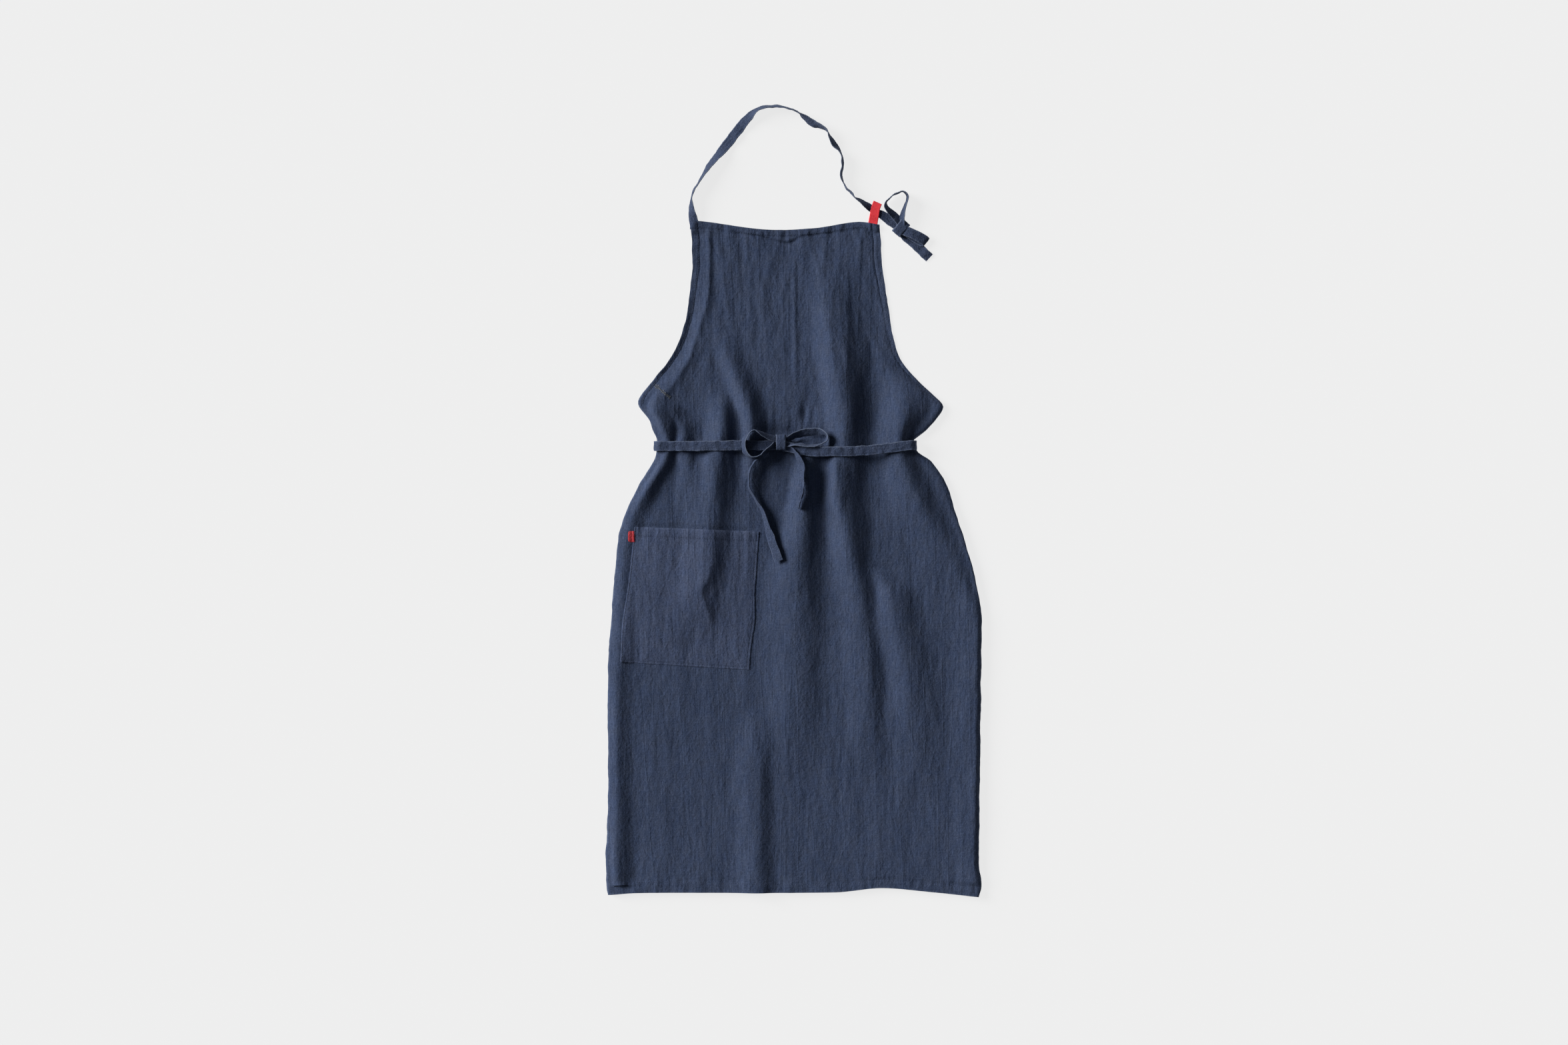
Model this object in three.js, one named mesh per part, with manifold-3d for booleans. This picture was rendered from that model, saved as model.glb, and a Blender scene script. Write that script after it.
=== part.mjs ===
// Long bib apron in navy linen, laid face up on a flat surface with its ties fastened in front.
// Millimetres, +Z up. The surface is Z = 0, the bib points along +Y and the pocket lies towards -X.
// The body is one cloth: a bib, a front and two wings that fold under the front at the sides.
import * as THREE from "three";
import { mergeVertices } from "three/addons/utils/BufferGeometryUtils.js";
import Module from "manifold-3d";

const { clamp, degToRad, lerp, smoothstep } = THREE.MathUtils;

// Driving dimensions
const CLOTH = 1.2; // wall of the linen
const HEM = 2.0; // wall of a turned hem
const TAPE = 1.0; // wall of the red tape
const GAP = 0.4; // air between pieces that touch
const SEAM_GAP = 0.8; // air under a patch that follows the folds
const NECK_WIDTH = 15; // neck strap
const TIE_WIDTH = 14; // waist ties
const BIB_HEM = 11; // depth of the hem along the bib's top
const FOOT_HEM = 13; // depth of the hem along the foot
const ARMPIT_Y = 134; // height of the corners where the wings fold under
const WAIST_Y = 79; // height of the waist ties
const WING_EDGE = 75; // distance of each wing's free edge from the middle of the back
const WING_TUCK = 14; // how far the wings' foot lies above the front's, out of sight
const TIE_BUMP = 3.2; // how far the two ties under the wings lift them off the surface
const FOLD_ROLL = 9; // depth of the rounded side fold
const BIB_ROLL = 30; // distance over which the bib rises from its edges

// The body's side edges seen from above, from the foot to the bib's top.
// loft is the height of the front's middle layer and edge that of its side edge.
const OUTLINE = [
  { y: -562, left: -264, right: 265, loft: 9.0, edge: 4.8 },
  { y: -436, left: -266, right: 266, loft: 9.2, edge: 4.9 },
  { y: -236, left: -267, right: 267, loft: 9.5, edge: 5.0 },
  { y: -151, left: -259, right: 266, loft: 9.5, edge: 5.0 },
  { y: -94, left: -254, right: 254, loft: 9.5, edge: 5.0 },
  { y: -37, left: -246, right: 237, loft: 9.5, edge: 5.0 },
  { y: 20, left: -221, right: 217, loft: 9.5, edge: 5.5 },
  { y: 56, left: -199, right: 194, loft: 9.5, edge: 6.3 },
  { y: 70, left: -194.5, right: 174, loft: 9.5, edge: 6.5 },
  { y: 88, left: -194.5, right: 171.5, loft: 9.5, edge: 6.5 },
  { y: 101, left: -200, right: 189, loft: 9.5, edge: 6.3 },
  { y: 117, left: -210, right: 203, loft: 9.0, edge: 5.2 },
  { y: 134, left: -222, right: 213, loft: 8.5, edge: 4.0 },
  { y: 146, left: -219, right: 204, loft: 8.0, edge: 2.6 },
  { y: 172, left: -200, right: 176, loft: 7.0, edge: 1.4 },
  { y: 201, left: -177, right: 153, loft: 6.0, edge: 1.1 },
  { y: 229, left: -162, right: 143, loft: 5.0, edge: 1.0 },
  { y: 286, left: -149, right: 134, loft: 4.0, edge: 1.0 },
  { y: 343, left: -144, right: 126, loft: 3.0, edge: 1.0 },
  { y: 394, left: -147, right: 123, loft: 1.6, edge: 1.0 },
];

// The bib's top edge and the foot's edge seen from above.
const BIB_TOP = [
  { x: -148, y: 397 },
  { x: -132, y: 399 },
  { x: -40, y: 387 },
  { x: 30, y: 389 },
  { x: 92, y: 398 },
  { x: 123, y: 394 },
];
const FOOT = [
  { x: -264, y: -562 },
  { x: -220, y: -559 },
  { x: 60, y: -558 },
  { x: 125, y: -552 },
  { x: 190, y: -557 },
  { x: 265, y: -565 },
];

// The main folds, each a ridge that runs down the front. A row gives the crest's place at one height,
// how far the ridge reaches to its left and right, and how high it stands.
const FOLDS = {
  hip_left: [
    { y: -70, x: -238, left: 14, right: 30, height: 0 },
    { y: -25, x: -228, left: 14, right: 26, height: 5 },
    { y: 15, x: -209, left: 14, right: 24, height: 8 },
    { y: 50, x: -189, left: 10, right: 20, height: 8 },
    { y: 80, x: -184, left: 10, right: 17, height: 6 },
    { y: 110, x: -189, left: 16, right: 20, height: 6 },
    { y: 140, x: -196, left: 22, right: 26, height: 0 },
  ],
  side_left: [
    { y: -60, x: -146, left: 25, right: 18, height: 0 },
    { y: -20, x: -146, left: 25, right: 18, height: 3 },
    { y: 40, x: -148, left: 20, right: 16, height: 8 },
    { y: 75, x: -153, left: 16, right: 17, height: 11 },
    { y: 110, x: -161, left: 16, right: 20, height: 9 },
    { y: 155, x: -168, left: 20, right: 24, height: 0 },
  ],
  pocket: [
    { y: -190, x: -138, left: 42, right: 40, height: 0 },
    { y: -134, x: -133, left: 42, right: 28, height: 5 },
    { y: -75, x: -120, left: 42, right: 32, height: 9 },
    { y: 30, x: -108, left: 34, right: 32, height: 13 },
    { y: 60, x: -101, left: 33, right: 22, height: 14 },
    { y: 100, x: -100, left: 33, right: 20, height: 13 },
    { y: 150, x: -103, left: 30, right: 18, height: 8 },
    { y: 195, x: -112, left: 30, right: 20, height: 0 },
  ],
  bib_slant: [
    { y: -40, x: -62, left: 22, right: 26, height: 0 },
    { y: 40, x: -61, left: 20, right: 24, height: 7 },
    { y: 80, x: -60, left: 18, right: 25, height: 12 },
    { y: 120, x: -63, left: 17, right: 27, height: 13 },
    { y: 170, x: -78, left: 22, right: 26, height: 10 },
    { y: 220, x: -98, left: 24, right: 25, height: 6 },
    { y: 280, x: -117, left: 24, right: 25, height: 0 },
  ],
  middle: [
    { y: -385, x: -7, left: 55, right: 50, height: 0 },
    { y: -300, x: 2, left: 55, right: 50, height: 4 },
    { y: -200, x: 6, left: 55, right: 46, height: 7 },
    { y: -100, x: 12, left: 50, right: 36, height: 11 },
    { y: -20, x: 17, left: 48, right: 29, height: 14 },
    { y: 40, x: 20, left: 45, right: 27, height: 14 },
    { y: 75, x: 20, left: 40, right: 27, height: 11 },
    { y: 120, x: 18, left: 36, right: 26, height: 0 },
  ],
  long: [
    { y: -400, x: 112, left: 46, right: 26, height: 0 },
    { y: -330, x: 109, left: 46, right: 24, height: 4 },
    { y: -230, x: 106, left: 46, right: 24, height: 7 },
    { y: -110, x: 93, left: 40, right: 28, height: 10 },
    { y: -80, x: 86, left: 36, right: 28, height: 12 },
    { y: -30, x: 80, left: 32, right: 38, height: 15 },
    { y: 30, x: 69, left: 23, right: 48, height: 16 },
    { y: 60, x: 66, left: 21, right: 48, height: 16 },
    { y: 80, x: 73, left: 28, right: 38, height: 15 },
    { y: 120, x: 72, left: 42, right: 40, height: 14 },
    { y: 180, x: 62, left: 42, right: 48, height: 10 },
    { y: 270, x: 60, left: 40, right: 48, height: 5 },
    { y: 340, x: 58, left: 40, right: 44, height: 0 },
  ],
  side_right: [
    { y: -170, x: 256, left: 40, right: 10, height: 0 },
    { y: -115, x: 241, left: 55, right: 14, height: 4 },
    { y: -60, x: 210, left: 55, right: 24, height: 8 },
    { y: 0, x: 177, left: 48, right: 26, height: 12 },
    { y: 40, x: 159, left: 40, right: 22, height: 13 },
    { y: 70, x: 152, left: 40, right: 15, height: 14 },
    { y: 95, x: 153, left: 42, right: 17, height: 13 },
    { y: 130, x: 152, left: 42, right: 28, height: 8 },
    { y: 180, x: 150, left: 40, right: 30, height: 0 },
  ],
  hip_right: [
    { y: -395, x: 172, left: 36, right: 40, height: 0 },
    { y: -304, x: 166, left: 36, right: 40, height: 4 },
    { y: -229, x: 161, left: 32, right: 36, height: 6 },
    { y: -154, x: 148, left: 28, right: 34, height: 7 },
    { y: -125, x: 128, left: 16, right: 28, height: 4 },
    { y: -102, x: 116, left: 10, right: 14, height: 0 },
  ],
  foot_left: [
    { y: -565, x: -48, left: 40, right: 18, height: 5 },
    { y: -450, x: -47, left: 40, right: 18, height: 4.5 },
    { y: -320, x: -46, left: 40, right: 18, height: 0 },
  ],
};
const TIE_PRESS = 0.2; // share of a fold's height that the waist ties press flat
const TIE_PRESS_REACH = 26; // how far above and below the ties that shows
const FOLD_FADE = 16; // folds die out this near a side edge

// The pocket's corners on the front, how far it puffs out over its hollow, and what share of that is left
// where the front's fold stretches it.
const POCKET = {
  topLeft: { x: -226, y: -37 },
  topRight: { x: -48, y: -44 },
  bottomRight: { x: -61, y: -239 },
  bottomLeft: { x: -243, y: -231 },
  puff: 9.5,
  tight: 0.3,
};
const POCKET_HEM = 13; // depth of the hem along the pocket's mouth
const POCKET_TAG = { x: -233.5, y: -51, width: 9, length: 16, wall: 1.8 };

// Routes of the straps seen from above. turn is 0 where a strap lies flat and 90 where it stands on edge.
const NECK_ROUTE = [
  { x: -141, y: 401, turn: 10 },
  { x: -145, y: 416, turn: 50 },
  { x: -145, y: 432, turn: 78 },
  { x: -142, y: 441, turn: 78 },
  { x: -136, y: 450, turn: 72 },
  { x: -128, y: 467, turn: 55 },
  { x: -113, y: 485, turn: 25 },
  { x: -95, y: 509, turn: 0 },
  { x: -79, y: 531, turn: 0 },
  { x: -62, y: 547, turn: 15 },
  { x: -46, y: 557, turn: 50 },
  { x: -30, y: 562, turn: 72 },
  { x: -17, y: 562, turn: 75 },
  { x: 1, y: 557, turn: 68 },
  { x: 19, y: 547, turn: 45 },
  { x: 34, y: 536, turn: 50 },
  { x: 49, y: 527, turn: 75 },
  { x: 58, y: 512, turn: 55 },
  { x: 67, y: 499, turn: 75 },
  { x: 70, y: 485, turn: 80 },
  { x: 69, y: 472, turn: 70 },
  { x: 68, y: 460, turn: 80 },
  { x: 74, y: 449, turn: 75 },
  { x: 83, y: 438, turn: 76 },
  { x: 90, y: 431, turn: 50 },
  { x: 98, y: 425, turn: 18 },
  { x: 107, y: 420, turn: 0 },
  { x: 117, y: 414, turn: 0 },
  { x: 127, y: 408, turn: 0 },
  { x: 138, y: 399, turn: 0 },
  { x: 149, y: 389, turn: 0 },
];
const NECK_LOOP_UPPER = [
  { x: 136, y: 404, turn: 20 },
  { x: 131, y: 420, turn: 55 },
  { x: 140, y: 434, turn: 72 },
  { x: 155, y: 440, turn: 75 },
  { x: 163, y: 431, turn: 72 },
  { x: 159, y: 419, turn: 55 },
  { x: 152, y: 405, turn: 20 },
  { x: 149, y: 391, turn: 0 },
];
const NECK_LOOP_LOWER = [
  { x: 153, y: 387, turn: 20 },
  { x: 173, y: 383, turn: 45 },
  { x: 187, y: 377, turn: 65 },
  { x: 191, y: 370, turn: 75 },
  { x: 183, y: 363, turn: 70 },
  { x: 167, y: 371, turn: 60 },
  { x: 155, y: 383, turn: 40 },
];
const NECK_TAIL = [
  { x: 150, y: 388, turn: 0 },
  { x: 166, y: 372, turn: 0 },
  { x: 180, y: 359, turn: 0 },
  { x: 194, y: 346, turn: 0 },
];
const NECK_KNOT = { x: 151, y: 389, slant: -42, width: 13, length: 19, height: 8 };

const LOOP_TAPE = { baseX: 113.5, baseY: 396.6, slant: -12, width: 13, length: 32, rise: 5 };

// The waist ties: left and right say on which side of the bow each shows.
const TIE_LEFT_FRONT = [
  { x: -29.5, y: 79, turn: 0 },
  { x: -71, y: 79, turn: 0 },
  { x: -123, y: 78, turn: 0 },
  { x: -186, y: 79, turn: 0 },
];
const TIE_RIGHT_FRONT = [
  { x: -14, y: 78, turn: 0 },
  { x: 18, y: 71, turn: 0 },
  { x: 53, y: 69, turn: 0 },
  { x: 95, y: 71, turn: 0 },
  { x: 133, y: 76, turn: 0 },
  { x: 166, y: 80, turn: 0 },
];
const BOW_LOOP_LEFT = [
  { x: -29.5, y: 84, turn: 45 },
  { x: -40, y: 90, turn: 65 },
  { x: -57, y: 100, turn: 75 },
  { x: -68, y: 89, turn: 72 },
  { x: -73, y: 77, turn: 65 },
  { x: -67, y: 67, turn: 72 },
  { x: -54, y: 62, turn: 75 },
  { x: -42, y: 69, turn: 65 },
  { x: -29.5, y: 80, turn: 45 },
];
const BOW_LOOP_RIGHT = [
  { x: -14, y: 90, turn: 45 },
  { x: 4, y: 97, turn: 65 },
  { x: 18, y: 103, turn: 72 },
  { x: 31, y: 104, turn: 75 },
  { x: 43, y: 100, turn: 75 },
  { x: 48, y: 94, turn: 75 },
  { x: 40, y: 84, turn: 72 },
  { x: 30, y: 79, turn: 65 },
  { x: 12, y: 79, turn: 55 },
  { x: -14, y: 85, turn: 45 },
];
const BOW_TAIL_LEFT = [
  { x: -29.5, y: 79, turn: 60 },
  { x: -37, y: 73, turn: 75 },
  { x: -47, y: 64, turn: 78 },
  { x: -59, y: 52, turn: 78 },
  { x: -65, y: 35, turn: 78 },
  { x: -63, y: 18, turn: 76 },
  { x: -53, y: 0, turn: 66 },
  { x: -45, y: -17, turn: 45 },
  { x: -38, y: -37, turn: 20 },
  { x: -28, y: -60, turn: 5 },
  { x: -22, y: -84, turn: 0 },
];
const BOW_TAIL_RIGHT = [
  { x: -14, y: 79, turn: 60 },
  { x: -2, y: 76, turn: 72 },
  { x: 7, y: 68, turn: 78 },
  { x: 13, y: 56, turn: 78 },
  { x: 16, y: 43, turn: 78 },
  { x: 15, y: 30, turn: 78 },
  { x: 16, y: 19, turn: 78 },
  { x: 12, y: 4, turn: 78 },
  { x: 6, y: -13, turn: 78 },
];
const BOW_KNOT = { x: -18, y: 83, slant: 90, width: 15, length: 22, height: 10 };
const KNOT_SPAN = 76; // width of the hollow that the bow's knot hangs over
const KNOT_SAG = 3; // how far it hangs below the crests beside it
const BOW_LIFT = SEAM_GAP + 0.5; // the bow stands this far above the folds, its lower edges in the ties
const TIE_SPAN = 4; // sections of a tie over which it spans the hollows between folds
const BOW_SPAN = 3; // the same for the bow's loops and tails
const TIE_SIDE = 12; // how far a tie's turn round the side reaches from its centre
const TIE_BACK_LOW = CLOTH / 2; // height of the tie that lies on the surface
const TIE_BACK_HIGH = CLOTH / 2 + CLOTH + 0.3; // height of the tie that lies across it
const TIE_SEWN = 8; // length of each tie that is sewn under its wing

// Fineness of the faceted solids
const ROW_STEP = 30;
const FRONT_COLUMNS = 30;
const EDGE_COLUMNS = [0, 0.16, 0.5, 1]; // columns across a rounded side fold, as shares of its depth
const WING_COLUMNS = 4;
const POCKET_STEPS = 12;
const STRAP_STEP = 7;

const NAVY = new THREE.MeshStandardMaterial({ color: 0x3a4663, roughness: 0.92, metalness: 0 });
const RED = new THREE.MeshStandardMaterial({ color: 0xd8323f, roughness: 0.8, metalness: 0 });

const wasm = await Module();
wasm.setup();

// A smooth curve through a table: the value of one column at any place along another that rises row by row.
function curveThrough(rows, along, column) {
  const at = rows.map((row) => row[along]);
  const value = rows.map((row) => row[column]);
  const last = rows.length - 1;
  const slope = rows.map((_, i) => {
    const before = Math.max(i - 1, 0);
    const after = Math.min(i + 1, last);
    return (value[after] - value[before]) / (at[after] - at[before]);
  });
  return (place) => {
    const p = clamp(place, at[0], at[last]);
    let i = 0;
    while (i < last - 1 && p > at[i + 1]) i += 1;
    const span = at[i + 1] - at[i];
    const t = (p - at[i]) / span;
    const bend = t * t * (3 - 2 * t);
    const start = t * (1 - t) * (1 - t) * span * slope[i];
    const end = t * t * (t - 1) * span * slope[i + 1];
    return lerp(value[i], value[i + 1], bend) + start + end;
  };
}

const leftEdge = curveThrough(OUTLINE, "y", "left");
const rightEdge = curveThrough(OUTLINE, "y", "right");
const loftAt = curveThrough(OUTLINE, "y", "loft");
const edgeAt = curveThrough(OUTLINE, "y", "edge");
const bibTop = curveThrough(BIB_TOP, "x", "y");
const footEdge = curveThrough(FOOT, "x", "y");

// A quarter round from 0 at an edge to 1 at its full depth.
function quarterRound(share) {
  const rest = 1 - clamp(share, 0, 1);
  return Math.sqrt(1 - rest * rest);
}

const foldCurves = Object.values(FOLDS).map((rows) => ({
  end: rows[0].y,
  top: rows.at(-1).y,
  crest: curveThrough(rows, "y", "x"),
  left: curveThrough(rows, "y", "left"),
  right: curveThrough(rows, "y", "right"),
  height: curveThrough(rows, "y", "height"),
}));

// How far one fold lifts the cloth at a place on the front: a rounded crest that runs out in rounded hollows.
function foldHeight(fold, x, y) {
  if (y >= fold.top || y < fold.end) return 0;
  const away = x - fold.crest(y);
  const share = away / (away < 0 ? fold.left(y) : fold.right(y));
  if (Math.abs(share) >= 1) return 0;
  return Math.max(0, fold.height(y)) * 0.5 * (1 + Math.cos(Math.PI * share));
}

// Height of the middle of the front's cloth at a place seen from above.
function frontHeight(x, y) {
  const away = Math.max(0, Math.min(x - leftEdge(y), rightEdge(y) - x));
  const onBib = smoothstep(y, ARMPIT_Y, ARMPIT_Y + 60);
  const roll = lerp(FOLD_ROLL, BIB_ROLL, onBib);
  const base = lerp(edgeAt(y), loftAt(y), quarterRound(away / roll));
  const nearTie = (y - WAIST_Y) / TIE_PRESS_REACH;
  const pressed = 1 - TIE_PRESS * Math.exp(-nearTie * nearTie);
  const folds = foldCurves.reduce((sum, fold) => sum + foldHeight(fold, x, y), 0);
  return base + folds * pressed * smoothstep(away, 0, FOLD_FADE);
}

const frontTop = (x, y) => frontHeight(x, y) + CLOTH / 2;

// What the neck strap rests on: the surface, and the red loop's lower layer where it passes through that.
function underNeckStrap(x, y) {
  const slant = degToRad(LOOP_TAPE.slant);
  const across = (x - LOOP_TAPE.baseX) * Math.cos(slant) + (y - LOOP_TAPE.baseY) * Math.sin(slant);
  const beside = Math.abs(across) - LOOP_TAPE.width / 2;
  return (TAPE + GAP) * (1 - smoothstep(beside, 2, 12));
}

// A closed wall around a surface of points and four-sided faces, as thick at each point as walls says.
function thicken(points, faces, walls) {
  const normals = points.map(() => new THREE.Vector3());
  const edges = new Map();
  for (const face of faces) {
    const [a, b, c, d] = face.map((i) => points[i]);
    const across = new THREE.Vector3().subVectors(c, a);
    const normal = across.cross(new THREE.Vector3().subVectors(d, b));
    face.forEach((i) => normals[i].add(normal));
    face.forEach((i, k) => {
      const j = face[(k + 1) % face.length];
      const back = `${j},${i}`;
      if (!edges.delete(back)) edges.set(`${i},${j}`, [i, j]);
    });
  }
  const position = [];
  for (const side of [0.5, -0.5]) {
    points.forEach((p, i) => {
      const q = normals[i].clone().normalize().multiplyScalar(side * walls[i]).add(p);
      position.push(q.x, q.y, q.z);
    });
  }
  const under = points.length;
  const index = [];
  for (const [a, b, c, d] of faces) {
    index.push(a, b, c, a, c, d);
    index.push(a + under, c + under, b + under, a + under, d + under, c + under);
  }
  for (const [i, j] of edges.values()) index.push(i, i + under, j + under, i, j + under, j);
  const geometry = new THREE.BufferGeometry();
  geometry.setAttribute("position", new THREE.Float32BufferAttribute(position, 3));
  geometry.setIndex(index);
  return geometry;
}

// Several overlapping closed geometries as one.
function fuse(...geometries) {
  const solids = geometries.map((geometry) => {
    const bare = geometry.clone();
    bare.deleteAttribute("normal");
    bare.deleteAttribute("uv");
    const merged = mergeVertices(bare, 1e-4);
    const vertProperties = new Float32Array(merged.getAttribute("position").array);
    const triVerts = new Uint32Array(merged.index.array);
    return new wasm.Manifold(new wasm.Mesh({ numProp: 3, vertProperties, triVerts }));
  });
  const whole = solids.reduce((sum, solid) => sum.add(solid)).getMesh();
  const geometry = new THREE.BufferGeometry();
  geometry.setAttribute("position", new THREE.BufferAttribute(whole.vertProperties, 3));
  geometry.setIndex(new THREE.BufferAttribute(whole.triVerts, 1));
  return geometry;
}

// The heights of the body's rows of points, from the bib's top to the foot, with a row at each hem.
function bodyRows() {
  const top = OUTLINE.at(-1).y;
  const foot = OUTLINE[0].y;
  const stops = OUTLINE.map((row) => row.y).concat(top - BIB_HEM, top - BIB_HEM - 1);
  stops.push(foot + FOOT_HEM, foot + FOOT_HEM + 1);
  stops.sort((a, b) => b - a);
  const rows = [stops[0]];
  stops.slice(1).forEach((stop, i) => {
    const parts = Math.ceil((stops[i] - stop) / ROW_STEP);
    for (let part = 1; part <= parts; part += 1) rows.push(lerp(stops[i], stop, part / parts));
  });
  return rows;
}

// Where a row at height y of the flat outline comes to lie at x, between the wavy top and foot edges.
function rowHeight(y, x) {
  const top = OUTLINE.at(-1).y;
  const foot = OUTLINE[0].y;
  const nearTop = smoothstep(y, top - 70, top);
  const nearFoot = 1 - smoothstep(y, foot, foot + 70);
  return y + nearTop * (bibTop(x) - top) + nearFoot * (footEdge(x) - foot);
}

// The places of the front's columns along a row, closer together at the side folds.
function frontColumns(left, right) {
  const near = EDGE_COLUMNS.map((share) => share * FOLD_ROLL);
  const places = near.map((depth) => left + depth);
  const start = places.at(-1);
  const end = right - near.at(-1);
  for (let i = 1; i < FRONT_COLUMNS; i += 1) places.push(lerp(start, end, i / FRONT_COLUMNS));
  return places.concat(near.map((depth) => right - depth).reverse());
}

// One row of a wing, from its side fold to its free edge at the back.
function wingRow(side, row, foldPoint) {
  const reach = Math.abs(foldPoint.x) - WING_EDGE;
  const depths = EDGE_COLUMNS.slice(1).map((share) => share * FOLD_ROLL);
  const start = depths.at(-1);
  for (let i = 1; i <= WING_COLUMNS; i += 1) depths.push(lerp(start, reach, i / WING_COLUMNS));
  const foot = OUTLINE[0].y;
  const drop = (ARMPIT_Y - row) / (ARMPIT_Y - foot);
  return depths.map((depth) => {
    const armhole = (ARMPIT_Y - WAIST_Y - TIE_WIDTH / 2) * (1 - (1 - depth / reach) ** 2.2);
    const tuck = WING_TUCK * drop ** 4 * smoothstep(depth, 0, 60);
    const y = foldPoint.y - armhole * (1 - drop) + tuck;
    const nearTie = 1 - smoothstep(Math.abs(y - WAIST_Y), TIE_WIDTH, 3 * TIE_WIDTH);
    const level = (row <= foot + FOOT_HEM ? HEM : CLOTH) / 2 + TIE_BUMP * nearTie;
    const z = lerp(foldPoint.z, level, quarterRound(depth / FOLD_ROLL));
    return new THREE.Vector3(foldPoint.x - side * depth, y, z);
  });
}

// The body's wall is thicker along its hems.
function bodyWall(row, column, columns) {
  const top = OUTLINE.at(-1).y;
  const foot = OUTLINE[0].y;
  if (row >= top - BIB_HEM || row <= foot + FOOT_HEM) return HEM;
  const armhole = row > ARMPIT_Y && Math.min(column, columns - 1 - column) < EDGE_COLUMNS.length - 1;
  return armhole ? HEM : CLOTH;
}

function bodyGeometry() {
  const points = [];
  const walls = [];
  const grid = bodyRows().map((row) => {
    const places = frontColumns(leftEdge(row), rightEdge(row));
    const front = places.map((x) => {
      const y = rowHeight(row, x);
      return new THREE.Vector3(x, y, frontHeight(x, row));
    });
    const folded = row <= ARMPIT_Y;
    const left = folded ? wingRow(-1, row, front[0]).reverse() : [];
    const right = folded ? wingRow(1, row, front.at(-1)) : [];
    const wings = EDGE_COLUMNS.length - 1 + WING_COLUMNS;
    const indices = new Array(folded ? 0 : wings).fill(null);
    [...left, ...front, ...right].forEach((point) => {
      indices.push(points.length);
      points.push(point);
      const column = indices.length - 1 - wings;
      walls.push(bodyWall(row, column, front.length));
    });
    while (indices.length < front.length + 2 * wings) indices.push(null);
    return indices;
  });
  const faces = [];
  grid.slice(1).forEach((below, i) => {
    const above = grid[i];
    for (let j = 0; j + 1 < below.length; j += 1) {
      const face = [above[j], below[j], below[j + 1], above[j + 1]];
      if (!face.includes(null)) faces.push(face);
    }
  });
  return thicken(points, faces, walls);
}

function pocketGeometry() {
  const points = [];
  const walls = [];
  const faces = [];
  const hemShare = POCKET_HEM / (POCKET.topLeft.y - POCKET.bottomLeft.y);
  const side = POCKET_STEPS + 1;
  for (let i = 0; i < side; i += 1) {
    const down = i / POCKET_STEPS;
    for (let j = 0; j < side; j += 1) {
      const across = j / POCKET_STEPS;
      const x = lerp(
        lerp(POCKET.topLeft.x, POCKET.topRight.x, across),
        lerp(POCKET.bottomLeft.x, POCKET.bottomRight.x, across),
        down,
      );
      const y = lerp(
        lerp(POCKET.topLeft.y, POCKET.topRight.y, across),
        lerp(POCKET.bottomLeft.y, POCKET.bottomRight.y, across),
        down,
      );
      const slack = lerp(1, POCKET.tight, smoothstep(across, 0.3, 0.6));
      const puff = POCKET.puff * slack * (1 - (2 * across - 1) ** 4) * (1 - down ** 4);
      const wall = down <= hemShare ? HEM : CLOTH;
      const under = Math.max(...[-8, 0, 8].map((aside) => frontTop(x + aside, y)));
      points.push(new THREE.Vector3(x, y, under + SEAM_GAP + puff + wall / 2));
      walls.push(wall);
      if (i && j) faces.push([(i - 1) * side + j - 1, i * side + j - 1, i * side + j, (i - 1) * side + j]);
    }
  }
  return thicken(points, faces, walls);
}

// A bar with a rounded section, standing on a level, its width along slant degrees from +X.
function roundedBar({ x, y, slant, width, length, height }, level) {
  const r = height / 2;
  const flat = length / 2 - r;
  const section = new THREE.Shape();
  section.moveTo(-flat, 0);
  section.lineTo(flat, 0);
  section.absarc(flat, r, r, -Math.PI / 2, Math.PI / 2);
  section.lineTo(-flat, height);
  section.absarc(-flat, r, r, Math.PI / 2, (3 * Math.PI) / 2);
  const bar = new THREE.ExtrudeGeometry(section, { depth: width, bevelEnabled: false, curveSegments: 5 });
  bar.translate(0, 0, -width / 2);
  bar.rotateX(Math.PI / 2);
  bar.rotateZ(degToRad(slant));
  return bar.translate(x, y, level);
}

// A flat strap through sections, each with its middle, the way its width runs and its own width.
function strapGeometry(sections, wall) {
  const position = [];
  sections.forEach(({ middle, width }, i) => {
    const before = sections[Math.max(i - 1, 0)].middle;
    const after = sections[Math.min(i + 1, sections.length - 1)].middle;
    const way = new THREE.Vector3().subVectors(after, before);
    const thick = new THREE.Vector3().crossVectors(way, width).setLength(wall / 2);
    for (const [w, t] of [[1, 1], [-1, 1], [-1, -1], [1, -1]]) {
      const corner = middle.clone().addScaledVector(width, w / 2).addScaledVector(thick, t);
      position.push(corner.x, corner.y, corner.z);
    }
  });
  const index = [];
  for (let s = 1; s < sections.length; s += 1) {
    for (let k = 0; k < 4; k += 1) {
      const a = 4 * (s - 1) + k;
      const b = 4 * (s - 1) + ((k + 1) % 4);
      index.push(a, b, b + 4, a, b + 4, a + 4);
    }
  }
  const end = 4 * (sections.length - 1);
  index.push(0, 2, 1, 0, 3, 2, end, end + 1, end + 2, end, end + 2, end + 3);
  const geometry = new THREE.BufferGeometry();
  geometry.setAttribute("position", new THREE.Float32BufferAttribute(position, 3));
  geometry.setIndex(index);
  return geometry;
}

// The largest value near each place of a list, smoothed: a strap spans the hollows between the folds.
function bridged(values, reach) {
  const near = (list, i, fold) => fold(list.slice(Math.max(0, i - reach), i + reach + 1));
  const tops = values.map((_, i) => near(values, i, (list) => Math.max(...list)));
  return tops.map((_, i) => near(tops, i, (list) => list.reduce((a, b) => a + b) / list.length));
}

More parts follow.
